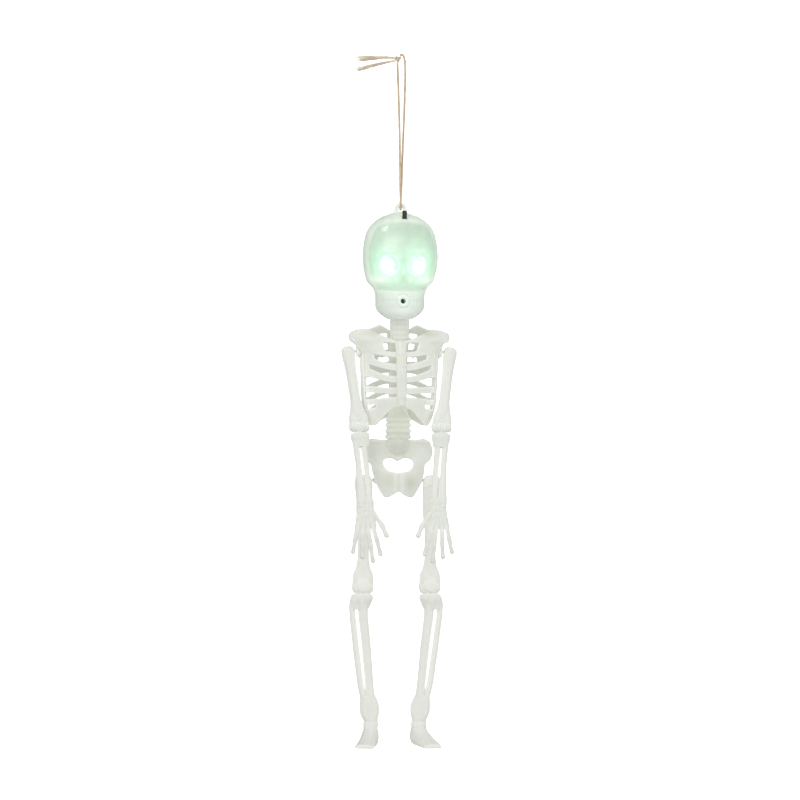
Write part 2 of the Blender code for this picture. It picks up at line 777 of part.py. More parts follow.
PELVIS_OUTLINE = [
    (0, 198.0), (6.9, 197.6), (12.0, 198.0), (17.0, 198.8), (20.4, 197.0), (22.2, 193.0),
    (22.3, 188.5), (20.6, 184.6), (17.6, 182.2), (16.6, 176.5), (15.0, 170.6), (12.1, 165.0),
    (9.3, 160.9), (6.7, 160.7), (3.2, 162.6), (0, 164.7),
]
HEART_OUTLINE = [
    (0, 184.2), (1.8, 185.0), (3.8, 186.2), (5.9, 186.2), (7.8, 185.6), (9.2, 184.6),
    (9.9, 183.2), (9.7, 181.6), (8.8, 180.0), (7.6, 178.6), (6.4, 177.8), (5.2, 177.4),
    (4.0, 177.3), (2.6, 177.2), (1.2, 176.8), (0, 176.6),
]
PELVIS_PLATE = 3.0
HIP_FACE = 15.9  # where the pelvis ends at the hip


def pelvis_depth(x, z):
    """The sacrum lies at the back, the pubis in front and the wings between them."""
    middle = blend([(160, -2.4), (176, -3.0), (188, 5.0), (200, 4.6)], z)
    wing = blend([(160, 0.4), (176, 2.4), (188, 1.4), (200, 2.4)], z)
    return middle + (wing - middle) * min(abs(x) / 20, 1.0) ** 2


def pelvis_sheet():
    """Loops of points between the heart-shaped opening and the outer edge."""
    bm = bmesh.new()
    loops = []
    for share in (0, 0.45, 1):
        half = [(hx + (px - hx) * share, hz + (pz - hz) * share)
                for (hx, hz), (px, pz) in zip(HEART_OUTLINE, PELVIS_OUTLINE)]
        whole = half + [(-x, z) for x, z in half[-2:0:-1]]
        loops.append([bm.verts.new((x, pelvis_depth(x, z), z)) for x, z in whole])
    count = len(loops[0])
    for inner, outer in zip(loops, loops[1:]):
        for i in range(count):
            j = (i + 1) % count
            bm.faces.new((inner[i], inner[j], outer[j], outer[i]))
    return thicken(bm, PELVIS_PLATE)


def pelvis():
    body = pelvis_sheet()
    side_way, back_way = Vector((1, 0, 0)), Vector((0, 1, 0))
    rows = [(PELVIS_TOP, LUMBAR_Y, 7.3, 4.3), (195, 3.4, 6.8, 4.2), (190, 4.4, 6.0, 3.2)]
    rows.append((187.6, 5.0, 3.6, 2.2))
    sacrum = skin([oval(Vector((0, y, z)), side_way, back_way, a, b) for z, y, a, b in rows])
    join(body, sacrum)
    for side in (-1, 1):
        z = HIP_HEIGHT
        boss = rod((side * 9.6, HIP_Y, z), (side * HIP_FACE, HIP_Y, z), 2.5)
        join(body, boss)
        cut(body, rod((side * 9.2, HIP_Y, z), (side * 20, HIP_Y, z), BORE_RADIUS))
    piece("pelvis", body, material("bone_plastic", IVORY, 0.4), pivots["neck"])


# ---- arms ----


def arm_point(x, height, forward=0.0):
    """A point of the arm: the arm hangs at ARM_TILT from the shoulder's axis."""
    y = SHOULDER_Y - (SHOULDER_HEIGHT - height) * math.tan(ARM_TILT) - forward
    return Vector((x, y, height))


ARM_AXIS = Vector((0, -math.sin(ARM_TILT), -math.cos(ARM_TILT)))
ARM_FRONT = Vector((0, -math.cos(ARM_TILT), math.sin(ARM_TILT)))


def arm_box(centre, half_wide, front, back, up, down):
    """A box square to the tilted arm, round a point on it."""
    side = Vector((1, 0, 0))
    corners = []
    for along in (-up, down):
        flat = [(-half_wide, front), (half_wide, front), (half_wide, -back), (-half_wide, -back)]
        corners.append([centre + ARM_AXIS * along + side * x + ARM_FRONT * y for x, y in flat])
    return skin(corners)


ELBOW_LOBE = 3.6
TONGUE_HALF = 1.0
SLOT_HALF = TONGUE_HALF + GAP


def humerus(side, name, on):
    top = Vector((side * SHOULDER_X, SHOULDER_Y, SHOULDER_HEIGHT))
    elbow = arm_point(side * ELBOW_X, ELBOW_HEIGHT)
    out = side
    stations = [
        (-3.1, 1.8, 1.2, 0.0), (-2.5, 3.3, 2.3, 0.1 * out), (-1.0, 4.4, 3.1, 0.2 * out),
        (1.5, 4.6, 3.3, 0.1 * out), (5.0, 4.3, 3.3, 0.1 * out), (9.5, 3.8, 3.2, 0.1 * out),
        (16.0, 3.5, 3.1, 0), (33.0, 3.4, 3.1, 0), (39.0, 4.5, 3.1, 0), (43.0, 5.9, 3.1, 0),
        (46.0, 6.5, 3.1, 0), (49.5, 6.0, 2.8, 0),
    ]
    body = bone(top, elbow, stations)
    lobes = turned(elbow - Vector((6.4, 0, 0)), elbow + Vector((6.4, 0, 0)),
                   [(0, 2.3), (1.4, ELBOW_LOBE), (11.4, ELBOW_LOBE), (12.8, 2.3)])
    join(body, lobes)
    across = Vector((SLOT_HALF, 0, 0))
    slot = rod(elbow - across, elbow + across, ELBOW_LOBE + 0.1 + GAP, 24)
    join(slot, arm_box(elbow, SLOT_HALF, 8, 8, 0, 9))
    bore = rod(elbow - Vector((5.2, 0, 0)), elbow + Vector((5.2, 0, 0)), BORE_RADIUS)
    peg_hole = rod((side * 27, SHOULDER_Y, SHOULDER_HEIGHT),
                   (side * 35.8, SHOULDER_Y, SHOULDER_HEIGHT), BORE_RADIUS)
    face = block(*corners_between(side * 20, side * 28.5, -12, 12, 250, 262))
    cut(body, slot, bore, peg_hole, face)
    piece(name, body, material("bone_plastic", IVORY, 0.4), on)


# Each finger: knuckle (x, height), middle joint, and tip; x is the distance from the
# middle plane
FINGERS = [
    [(28.9, 142.5), (30.2, 134.5), (31.8, 126.5)],
    [(25.5, 141.5), (25.6, 132.5), (25.8, 123.5)],
    [(21.9, 141.5), (20.4, 131.0), (19.1, 120.9)],
    [(18.6, 142.5), (16.3, 134.0), (14.1, 125.2)],
    [(17.9, 150.5), (13.0, 143.8), (10.0, 136.8)],
]


def finger(side, joints):
    """A thin bony finger, thicker at its knuckle, middle joint and tip."""
    knuckle, middle, tip = [arm_point(side * x, z) for x, z in joints]
    root = knuckle + (knuckle - middle) * 0.25
    between = knuckle.lerp(middle, 0.5)
    beyond = middle.lerp(tip, 0.5)
    end = tip + (tip - middle).normalized() * 0.9
    points = [root, knuckle, between, middle, beyond, tip, end]
    stout = 1.15 if joints[0][1] > 145 else 1.0
    return tube(points, [r * stout for r in (1.35, 1.6, 1.2, 1.5, 1.15, 1.45, 0.85)], 7)


def forearm(side, name, on):
    """Two slim bones, the wrist and the hand in one moulding, with a tongue at the elbow."""
    elbow = arm_point(side * ELBOW_X, ELBOW_HEIGHT)
    wrist = arm_point(side * WRIST_X, WRIST_HEIGHT)
    cap = [(4.0, 4.4, 2.3, 0), (5.0, 6.2, 2.6, 0), (7.2, 6.4, 2.7, 0), (10.5, 5.4, 2.4, 0),
           (13.5, 4.9, 2.1, 0)]
    body = bone(elbow, wrist, cap)
    outer = tube([arm_point(side * (ELBOW_X + 2.5), 197), arm_point(side * 27.4, 181),
                  arm_point(side * 26.7, 168), arm_point(side * 26.3, 160),
                  arm_point(side * 26.0, 155)],
                 [2.1, 1.8, 2.3, 2.9, 2.7])
    inner = tube([arm_point(side * (ELBOW_X - 2.3), 197), arm_point(side * 22.4, 180),
                  arm_point(side * 20.9, 163), arm_point(side * 20.8, 156)],
                 [2.1, 1.65, 1.65, 2.2])
    tongue = rod(elbow - Vector((TONGUE_HALF, 0, 0)), elbow + Vector((TONGUE_HALF, 0, 0)),
                 ELBOW_LOBE + 0.1, 24)
    neck = arm_box(elbow, TONGUE_HALF, 1.8, 1.8, 0, 6)
    palm_top = arm_point(side * WRIST_X, 161)
    palm_end = arm_point(side * WRIST_X, 139)
    palm = bone(palm_top, palm_end, [(0, 4.6, 1.7, 0), (2.5, 5.7, 2.2, 0), (6.5, 5.5, 2.2, 0),
                                     (11.0, 6.0, 2.0, 0), (15.5, 6.8, 1.7, 0),
                                     (19.5, 7.2, 1.3, 0.1 * side)])
    join(body, tongue, neck, outer, inner, palm)
    for joints in FINGERS:
        join(body, finger(side, joints))
    cut(body, rod(elbow - Vector((5, 0, 0)), elbow + Vector((5, 0, 0)), BORE_RADIUS))
    piece(name, body, material("bone_plastic", IVORY, 0.4), on)


def pin(name, start, end, on):
    """A moulded pin with chamfered ends."""
    start, end = Vector(start), Vector(end)
    length = (end - start).length
    steps = [(0, 0.8), (0.4, PIN_RADIUS), (length - 0.4, PIN_RADIUS), (length, 0.8)]
    piece(name, turned(start, end, steps, 12), material("pin_plastic", IVORY, 0.3), on)


def arm(side, label):
    shoulder = pivot("shoulder_" + label, side * SHOULDER_X, SHOULDER_Y, SHOULDER_HEIGHT)
    elbow_at = arm_point(side * ELBOW_X, ELBOW_HEIGHT)
    elbow = pivot("elbow_" + label, *elbow_at)
    y, z = SHOULDER_Y, SHOULDER_HEIGHT
    pin("shoulder_pin_" + label, (side * 21, y, z), (side * 35.3, y, z), pivots["neck"])
    humerus(side, "humerus_" + label, shoulder)
    reach = Vector((4.9, 0, 0))
    pin("elbow_pin_" + label, elbow_at - reach, elbow_at + reach, shoulder)
    forearm(side, "forearm_" + label, elbow)


# ---- legs ----

KNEE_LOBE = 4.6
KNEE_TONGUE = 1.2
FOOT_TURN = math.radians(15)


def femur(side, name, on):
    """Thigh bone; the kneecap closes the front of the knee's slot, as the knee bends backward."""
    top = Vector((side * HIP_X, HIP_Y, HIP_HEIGHT))
    knee = Vector((side * KNEE_X, KNEE_Y, KNEE_HEIGHT))
    stations = [
        (-3.3, 3.0, 2.0, 1.5 * side), (-2.3, 4.8, 3.2, 0.9 * side), (0, 6.0, 3.9, 0.5 * side),
        (3.5, 6.2, 4.0, 0.7 * side), (7.0, 5.7, 3.8, 0.3 * side), (12.0, 5.4, 3.6, 0),
        (20.0, 5.3, 3.4, 0), (27.0, 4.6, 3.3, 0), (33.0, 3.7, 3.3, 0), (50.0, 3.6, 3.3, 0),
        (56.5, 4.6, 3.4, 0), (61.0, 6.7, 3.7, 0), (64.5, 7.3, 3.9, 0), (68.5, 7.0, 3.8, 0),
    ]
    body = bone(top, knee, stations)
    half = Vector((6.9, 0, 0))
    lobes = turned(knee - half, knee + half,
                   [(0, 2.6), (1.8, KNEE_LOBE), (12.0, KNEE_LOBE), (13.8, 2.6)])
    x, y, z = knee
    kneecap = ball((x, y - 4.1, z + 1.2), (5.3, 1.6, 5.0))
    join(body, lobes, kneecap)
    slot_half = KNEE_TONGUE + GAP
    across = Vector((slot_half, 0, 0))
    slot = rod(knee - across, knee + across, KNEE_LOBE + 0.1 + GAP, 24)
    join(slot, block((x - slot_half, y - 2.0 - GAP, z - 9), (x + slot_half, y + 9, z - 1)))
    bore = rod(knee - Vector((6.0, 0, 0)), knee + Vector((6.0, 0, 0)), BORE_RADIUS)
    z = HIP_HEIGHT
    peg_hole = rod((side * 14, HIP_Y, z), (side * 25.3, HIP_Y, z), BORE_RADIUS)
    inner = HIP_FACE + GAP
    face = block(*corners_between(side * 6, side * inner, -9, 15, z - 9, z + 9))
    cut(body, slot, bore, peg_hole, face)
    piece(name, body, material("bone_plastic", IVORY, 0.4), on)


def corners_between(x0, x1, y0, y1, z0, z1):
    """The lowest and highest corner of a box, whichever way round its sides are given."""
    return (min(x0, x1), y0, z0), (max(x0, x1), y1, z1)


def foot(side):
    """A foot with a flat sole and a rounded heel, pointing forward and a little outward."""
    ahead = Vector((side * math.sin(FOOT_TURN), -math.cos(FOOT_TURN), 0))
    across = Vector((math.cos(FOOT_TURN), side * math.sin(FOOT_TURN), 0))
    heel = Vector((side * 15.4, ANKLE_Y + 1.5, 0))
    # distance ahead of the heel, half width, underside, top
    sections = [(-4.2, 3.2, 5.0, 9.0), (-3.0, 4.7, 2.4, 12.5), (0.5, 5.4, 0.6, 14.5),
                (3.5, 5.5, 0, 13.5), (8.0, 5.5, 0, 10.5), (14.0, 5.8, 0, 7.2),
                (20.0, 6.2, 0, 5.0), (25.0, 6.5, 0, 3.4), (28.0, 5.6, 0, 2.4)]
    rings = []
    for along, half, low, high in sections:
        middle = heel + ahead * along
        outline = [(-0.9, 0), (-1, 0.3), (-0.8, 0.75), (-0.35, 1), (0.35, 1), (0.8, 0.75),
                   (1, 0.3), (0.9, 0)]
        rings.append([middle + across * (half * a) + Vector((0, 0, low + (high - low) * b))
                      for a, b in outline])
    return skin(rings)


def shin(side, name, on):
    """Shin bone, calf bone and foot in one moulding, with a tongue at the knee."""
    knee = Vector((side * KNEE_X, KNEE_Y, KNEE_HEIGHT))
    ankle = Vector((side * ANKLE_X, ANKLE_Y, ANKLE_HEIGHT))
    x, y, z = knee
    plateau = [(4.0, 5.9, 4.2, 0.9 * side), (6.0, 7.3, 4.5, 1.0 * side),
               (7.8, 8.0, 4.4, 1.3 * side), (11.0, 7.2, 3.4, 2.1 * side),
               (14.5, 6.2, 2.8, 2.8 * side)]
    body = bone(knee, ankle, plateau)
    cup = rod(knee - Vector((12, 0, 0)), knee + Vector((12, 0, 0)), KNEE_LOBE + GAP, 24)
    behind = block((x - 12, y, z - 5.1), (x + 12, y + 12, z + 5))
    cut(body, cup, behind)
    tibia = tube([Vector((side * 21.7, y + 0.3, 92)), Vector((side * 21.5, y + 0.6, 83.5)),
                  Vector((side * 19.0, y + 1.2, 62)), Vector((side * 17.1, y + 1.8, 40)),
                  Vector((side * 16.0, ANKLE_Y - 0.2, 28))],
                 [3.5, 3.2, 3.0, 2.8, 3.0])
    fibula = tube([Vector((side * 28.9, y + 0.4, 92)), Vector((side * 28.4, y + 0.6, 83.5)),
                   Vector((side * 25.8, y + 1.2, 62)), Vector((side * 22.9, y + 1.8, 40)),
                   Vector((side * 20.2, ANKLE_Y - 0.2, 28))],
                  [2.0, 1.95, 2.1, 2.05, 2.2], 8)
    joint = bone(ankle + Vector((side * 1.0, 0, 12.8)), ankle - Vector((side * 1.0, 0, 10)),
                 [(0, 4.7, 3.0, 0.6 * side), (2.8, 5.7, 3.6, 0.3 * side),
                  (7.0, 6.6, 3.9, 0), (11.0, 6.5, 3.8, 0), (16.0, 4.8, 3.7, -0.2 * side),
                  (21.0, 5.2, 4.2, 0)])
    across = Vector((KNEE_TONGUE, 0, 0))
    tongue = rod(knee - across, knee + across, KNEE_LOBE + 0.1, 24)
    neck = block((x - KNEE_TONGUE, y - 2.0, z - 7), (x + KNEE_TONGUE, y + 2.0, z))
    join(body, tongue, neck, tibia, fibula, joint, foot(side))
    cut(body, rod(knee - Vector((6, 0, 0)), knee + Vector((6, 0, 0)), BORE_RADIUS))
    piece(name, body, material("bone_plastic", IVORY, 0.4), on)


def leg(side, label):
    hip = pivot("hip_" + label, side * HIP_X, HIP_Y, HIP_HEIGHT)
    knee_at = Vector((side * KNEE_X, KNEE_Y, KNEE_HEIGHT))
    knee = pivot("knee_" + label, *knee_at)
    z = HIP_HEIGHT
    pin("hip_pin_" + label, (side * 10, HIP_Y, z), (side * 24.8, HIP_Y, z), pivots["neck"])
    femur(side, "femur_" + label, hip)
    reach = Vector((5.7, 0, 0))
    pin("knee_pin_" + label, knee_at - reach, knee_at + reach, hip)
    shin(side, "shin_" + label, knee)


def build():
    clear_scene()
    skull_shells()
    skull_screw()
    led(1, "led_left")
    led(-1, "led_right")
    circuit_board()
    board_screw(1, "board_screw_left")
    board_screw(-1, "board_screw_right")
    switch_body()
    switch_knob()
    battery_holder()
    battery_cells()
    battery_contact(1, "battery_contact_plus")
    battery_contact(-1, "battery_contact_minus")
    twine()
    pivot("neck", 0, 0, FLANGE_LOW)
    spine()
    ribcage()
    pelvis()
    for side, label in ((1, "left"), (-1, "right")):
        arm(side, label)
        leg(side, label)


build()
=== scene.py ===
"""A hanging toy skeleton in pale glow plastic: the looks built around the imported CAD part.

Lengths inside the helpers are in millimetres, with heights above the soles; the frame is in metres
with its origin at the top of the twine loop.
"""

import math
import random

import bmesh
import bpy
import numpy as np
from mathutils import Matrix, Vector


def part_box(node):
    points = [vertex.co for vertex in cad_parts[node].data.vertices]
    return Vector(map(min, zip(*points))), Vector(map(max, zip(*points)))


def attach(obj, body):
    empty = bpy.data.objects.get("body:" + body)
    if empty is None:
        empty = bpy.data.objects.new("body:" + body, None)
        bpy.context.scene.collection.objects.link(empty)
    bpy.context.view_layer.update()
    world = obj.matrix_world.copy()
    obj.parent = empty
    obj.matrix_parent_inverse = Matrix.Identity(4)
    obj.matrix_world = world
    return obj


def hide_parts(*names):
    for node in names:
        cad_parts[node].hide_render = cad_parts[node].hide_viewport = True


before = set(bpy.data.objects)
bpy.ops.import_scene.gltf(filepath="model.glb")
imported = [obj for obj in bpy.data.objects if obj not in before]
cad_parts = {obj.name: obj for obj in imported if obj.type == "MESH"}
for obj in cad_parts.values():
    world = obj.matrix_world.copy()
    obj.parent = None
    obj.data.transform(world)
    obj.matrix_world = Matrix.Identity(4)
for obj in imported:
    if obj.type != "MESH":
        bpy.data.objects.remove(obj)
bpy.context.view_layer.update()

MM = 0.001
HANG_HEIGHT = 447.0  # from the soles to the top of the twine loop
COARSE = 1.0  # larger steps while trying things

# ---- camera, light and backdrop ----

VIEW_TURN = math.radians(-6.5)
VIEW_ROLL = math.radians(0.5)
VIEW_DISTANCE = 1.8
VIEW_WIDTH = 0.5184
AIM_HEIGHT = -0.2232
AIM_SIDE = 0.0007


def set_camera():
    look = Vector((-math.sin(VIEW_TURN), math.cos(VIEW_TURN), 0))
    right = Vector((math.cos(VIEW_TURN), math.sin(VIEW_TURN), 0))
    turn = Matrix((right, Vector((0, 0, 1)), -look)).transposed().to_4x4()
    turn = turn @ Matrix.Rotation(VIEW_ROLL, 4, "Z")
    aim = Vector((0, 0, AIM_HEIGHT)) + right * AIM_SIDE
    lens = bpy.data.cameras.new("view")
    lens.sensor_width = 36
    lens.lens = 36 * VIEW_DISTANCE / VIEW_WIDTH
    lens.clip_end = 20
    camera = bpy.data.objects.new("view", lens)
    camera.matrix_world = Matrix.Translation(aim - look * VIEW_DISTANCE) @ turn
    bpy.context.scene.collection.objects.link(camera)
    bpy.context.scene.camera = camera


def area_light(name, place, aim, size, power):
    lamp = bpy.data.lights.new(name, "AREA")
    lamp.shape = "DISK"
    lamp.size = size
    lamp.energy = power
    made = bpy.data.objects.new(name, lamp)
    made.visible_camera = False
    toward = (Vector(aim) - Vector(place)).to_track_quat("-Z", "Y")
    made.matrix_world = Matrix.Translation(Vector(place)) @ toward.to_matrix().to_4x4()
    bpy.context.scene.collection.objects.link(made)
    return made


def set_light():
    """A room that is bright in front of the figure and above it, with soft lamps."""
    world = bpy.data.worlds.new("studio")
    world.use_nodes = True
    nodes, links = world.node_tree.nodes, world.node_tree.links
    way = nodes.new("ShaderNodeTexCoord")
    toward = nodes.new("ShaderNodeVectorMath")
    toward.operation = "DOT_PRODUCT"
    toward.inputs[1].default_value = (0, 1, -0.4)
    links.new(way.outputs["Generated"], toward.inputs[0])
    bright = add_range(nodes, links, toward.outputs["Value"], 0.88, 0.24, -0.9, 0.35)
    links.new(bright, nodes["Background"].inputs["Strength"])
    nodes["Background"].inputs["Color"].default_value = (1.0, 1.0, 1.0, 1)
    bpy.context.scene.world = world
    area_light("key", (-0.55, -0.9, 0.45), (0, 0, -0.2), 0.6, 1.7)
    area_light("fill", (0.8, -0.9, -0.1), (0, 0, -0.25), 0.9, 0.8)
    area_light("behind", (0.45, 1.3, 0.25), (0, 0, -0.2), 0.5, 0.7)
    glint = area_light("glint", (-0.6, -0.3, 0.6), (0, 0, -0.15), 0.2, 2.2)
    glint.visible_diffuse = False
    view = bpy.context.scene.view_settings
    view.view_transform = "Standard"
    view.look = "None"
    view.exposure = 0
    view.gamma = 1


FLOOR = -0.95
WALL_TOP = 3.5
WALL_RADIUS = 4.0
FLOOR_CURVE = 0.7
WALL_COLUMNS = 48


def set_stage():
    """A white floor that curves up into a round wall; it only makes the picture's background."""
    flat = WALL_RADIUS - FLOOR_CURVE
    profile = [(0.02, FLOOR), (1.5, FLOOR), (flat, FLOOR)]
    for k in range(1, 9):
        turn = math.pi / 2 * k / 8
        rise = FLOOR_CURVE * (1 - math.cos(turn))
        profile.append((flat + FLOOR_CURVE * math.sin(turn), FLOOR + rise))
    profile.append((WALL_RADIUS, WALL_TOP))
    bm = bmesh.new()
    columns = []
    for k in range(WALL_COLUMNS):
        turn = 2 * math.pi * k / WALL_COLUMNS
        column = [bm.verts.new((r * math.cos(turn), r * math.sin(turn), z)) for r, z in profile]
        columns.append(column)
    for left, right in zip(columns, columns[1:] + columns[:1]):
        for i in range(len(profile) - 1):
            bm.faces.new([left[i], right[i], right[i + 1], left[i + 1]])
    sweep = new_object("studio_sweep", bm)
    for face in sweep.data.polygons:
        face.use_smooth = True
    paper = bpy.data.materials.new("studio_paper")
    paper.use_nodes = True
    shader = paper.node_tree.nodes["Principled BSDF"]
    shader.inputs["Base Color"].default_value = (0.9, 0.9, 0.9, 1)
    shader.inputs["Roughness"].default_value = 0.9
    shader.inputs["Emission Color"].default_value = (1, 1, 1, 1)
    shader.inputs["Emission Strength"].default_value = 1.0
    sweep.data.materials.append(paper)
    sweep.visible_diffuse = False
    sweep.visible_glossy = False
    sweep.visible_transmission = False
    sweep.visible_shadow = False


# ---- mesh tools ----


def new_object(name, bm):
    mesh = bpy.data.meshes.new(name)
    bm.to_mesh(mesh)
    bm.free()
    made = bpy.data.objects.new(name, mesh)
    bpy.context.scene.collection.objects.link(made)
    return made


def apply_modifiers(piece):
    bpy.context.view_layer.update()
    graph = bpy.context.evaluated_depsgraph_get()
    mesh = bpy.data.meshes.new_from_object(piece.evaluated_get(graph))
    piece.modifiers.clear()
    piece.data = mesh


def points_of(piece):
    co = np.empty(len(piece.data.vertices) * 3)
    piece.data.vertices.foreach_get("co", co)
    return co.reshape(-1, 3)


def set_points(piece, co):
    piece.data.vertices.foreach_set("co", np.ascontiguousarray(co, dtype=np.float64).ravel())
    piece.data.update()


def normals_of(piece):
    out = np.empty(len(piece.data.vertices) * 3, np.float32)
    piece.data.vertex_normals.foreach_get("vector", out)
    return out.reshape(-1, 3).astype(float)


def relax(piece, values, rounds):
    """Averages a value per vertex with its neighbours."""
    edges = np.empty(len(piece.data.edges) * 2, np.int32)
    piece.data.edges.foreach_get("vertices", edges)
    a, b = edges[0::2], edges[1::2]
    count = len(piece.data.vertices)
    degree = np.bincount(a, minlength=count) + np.bincount(b, minlength=count)
    degree = np.maximum(degree, 1)
    values = np.array(values, float)
    flat = values.reshape(count, -1)
    for _ in range(rounds):
        for axis in range(flat.shape[1]):
            column = flat[:, axis]
            total = np.bincount(a, column[b], count) + np.bincount(b, column[a], count)
            flat[:, axis] = 0.5 * column + 0.5 * total / degree
    return flat.reshape(values.shape)


def moulded(node, voxel, soften):
    """A fine, evenly meshed copy of a CAD node, in millimetres above the soles."""
    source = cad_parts[node]
    piece = bpy.data.objects.new(node + "_moulding", source.data.copy())
    piece.data.materials.clear()
    bpy.context.scene.collection.objects.link(piece)
    piece.data.transform(Matrix.Scale(1000, 4))
    piece.data.transform(Matrix.Translation((0, 0, HANG_HEIGHT)))
    weld = piece.modifiers.new("weld", "WELD")
    weld.merge_threshold = 0.001
    grid = piece.modifiers.new("grid", "REMESH")
    grid.mode = "VOXEL"
    grid.voxel_size = voxel * COARSE
    apply_modifiers(piece)
    co = points_of(piece)
    rounds = max(1, round(soften / COARSE**2))
    set_points(piece, relax(piece, co, rounds))
    return piece


def to_frame(piece):
    piece.data.transform(Matrix.Translation((0, 0, -HANG_HEIGHT)))
    piece.data.transform(Matrix.Scale(MM, 4))
    for face in piece.data.polygons:
        face.use_smooth = True


def paint(piece, name, colours):
    """Stores a colour per vertex, which the material reads."""
    layer = piece.data.color_attributes.new(name, "FLOAT_COLOR", "POINT")
    rgba = np.ones((len(colours), 4), np.float32)
    rgba[:, :3] = np.clip(colours, 0, None)
    layer.data.foreach_set("color", rgba.ravel())


def step(low, high, value):
    t = np.clip((value - low) / (high - low), 0, 1)
    return t * t * (3 - 2 * t)


def hump(co, x, z, wide, tall):
    """A soft round patch on the front, at the same place on both sides when x isn't zero."""
    across = (np.abs(co[:, 0]) - x) / wide if x else co[:, 0] / wide
    return np.exp(-(across**2) - ((co[:, 2] - z) / tall) ** 2)


def ripple(co, scale, seed):
    """Smooth random waves, mostly from -1 to 1, that make a surface a little uneven."""
    dice = np.random.default_rng(seed)
    total = np.zeros(len(co))
    for _ in range(9):
        way = dice.normal(size=3)
        way *= 2 * math.pi / (scale * np.linalg.norm(way)) * dice.uniform(0.6, 1.5)
        total += np.sin(co @ way + dice.uniform(0, 6.28))
    return total / 4


def cavity_of(piece, rounds):
    """Positive on edges and ridges, negative in hollows."""
    co = points_of(piece)
    blurred = relax(piece, co, round(rounds / COARSE**2))
    return np.einsum("ij,ij->i", co - blurred, normals_of(piece))


# ---- materials ----


def node_material(name):
    made = bpy.data.materials.new(name)
    made.use_nodes = True
    return made, made.node_tree.nodes, made.node_tree.links


def add_noise(nodes, links, scale, detail):
    place = nodes.new("ShaderNodeTexCoord")
    noise = nodes.new("ShaderNodeTexNoise")
    noise.inputs["Scale"].default_value = scale
    noise.inputs["Detail"].default_value = detail
    noise.inputs["Roughness"].default_value = 0.6
    links.new(place.outputs["Object"], noise.inputs["Vector"])
    return noise


def add_range(nodes, links, source, low, high, from_low=0.3, from_high=0.7):
    scale = nodes.new("ShaderNodeMapRange")
    scale.inputs["From Min"].default_value = from_low
    scale.inputs["From Max"].default_value = from_high
    scale.inputs["To Min"].default_value = low
    scale.inputs["To Max"].default_value = high
    links.new(source, scale.inputs["Value"])
    return scale.outputs["Result"]


def add_bump(nodes, links, shader, layers):
    """Stacks bump layers: (height, strength, depth in metres)."""
    before = None
    for height, strength, depth in layers:
        bump = nodes.new("ShaderNodeBump")
        bump.inputs["Strength"].default_value = strength
        bump.inputs["Distance"].default_value = depth
        links.new(height, bump.inputs["Height"])
        if before:
            links.new(before, bump.inputs["Normal"])
        before = bump.outputs["Normal"]
    links.new(before, shader.inputs["Normal"])


def plastic(name, rough):
    """Translucent injection-moulded plastic: painted tint with painted shade and highlights, flow
    marks, fine grain, and a painted glow of passed light as emission.
    """
    made, nodes, links = node_material(name)
    shader = nodes["Principled BSDF"]
    tint = nodes.new("ShaderNodeVertexColor")
    tint.layer_name = "tint"
    flow = add_noise(nodes, links, 60, 4)
    mix = nodes.new("ShaderNodeMix")
    mix.data_type = "RGBA"
    mix.blend_type = "MULTIPLY"
    links.new(add_range(nodes, links, flow.outputs["Fac"], 0.0, 0.30), mix.inputs["Factor"])
    links.new(tint.outputs["Color"], mix.inputs["A"])
    mix.inputs["B"].default_value = (0.90, 0.925, 0.84, 1)
    links.new(mix.outputs["Result"], shader.inputs["Base Color"])
    patches = add_noise(nodes, links, 240, 3)
    links.new(add_range(nodes, links, patches.outputs["Fac"], rough * 0.8, rough * 1.2),
              shader.inputs["Roughness"])
    grain = add_noise(nodes, links, 2600, 3)
    dimple = add_noise(nodes, links, 420, 2)
    add_bump(nodes, links, shader, [
        (dimple.outputs["Fac"], 0.35, 0.0002),
        (grain.outputs["Fac"], 0.22, 0.00006),
    ])
    shader.inputs["Subsurface Weight"].default_value = 0.35
    shader.inputs["Subsurface Radius"].default_value = (0.9, 1.0, 0.7)
    shader.inputs["Subsurface Scale"].default_value = 0.0025
    shader.inputs["IOR"].default_value = 1.49
    shader.inputs["Specular IOR Level"].default_value = 0.36
    glow = nodes.new("ShaderNodeVertexColor")
    glow.layer_name = "glow"
    links.new(glow.outputs["Color"], shader.inputs["Emission Color"])
    shader.inputs["Emission Strength"].default_value = 1.0
    return made


def hard_material(name, colour, other, rough, metal=0.0, scale=900):
    """A small hard part: two tones of noise, uneven gloss and a fine bump."""
    made, nodes, links = node_material(name)
    shader = nodes["Principled BSDF"]
    noise = add_noise(nodes, links, scale, 5)
    mix = nodes.new("ShaderNodeMix")
    mix.data_type = "RGBA"
    links.new(add_range(nodes, links, noise.outputs["Fac"], 0, 1), mix.inputs["Factor"])
    mix.inputs["A"].default_value = (*colour, 1)
    mix.inputs["B"].default_value = (*other, 1)
    links.new(mix.outputs["Result"], shader.inputs["Base Color"])
    links.new(add_range(nodes, links, noise.outputs["Fac"], rough * 0.8, rough * 1.25),
              shader.inputs["Roughness"])
    shader.inputs["Metallic"].default_value = metal
    fine = add_noise(nodes, links, scale * 4, 2)
    add_bump(nodes, links, shader, [(fine.outputs["Fac"], 0.2, 0.00008)])
    return made


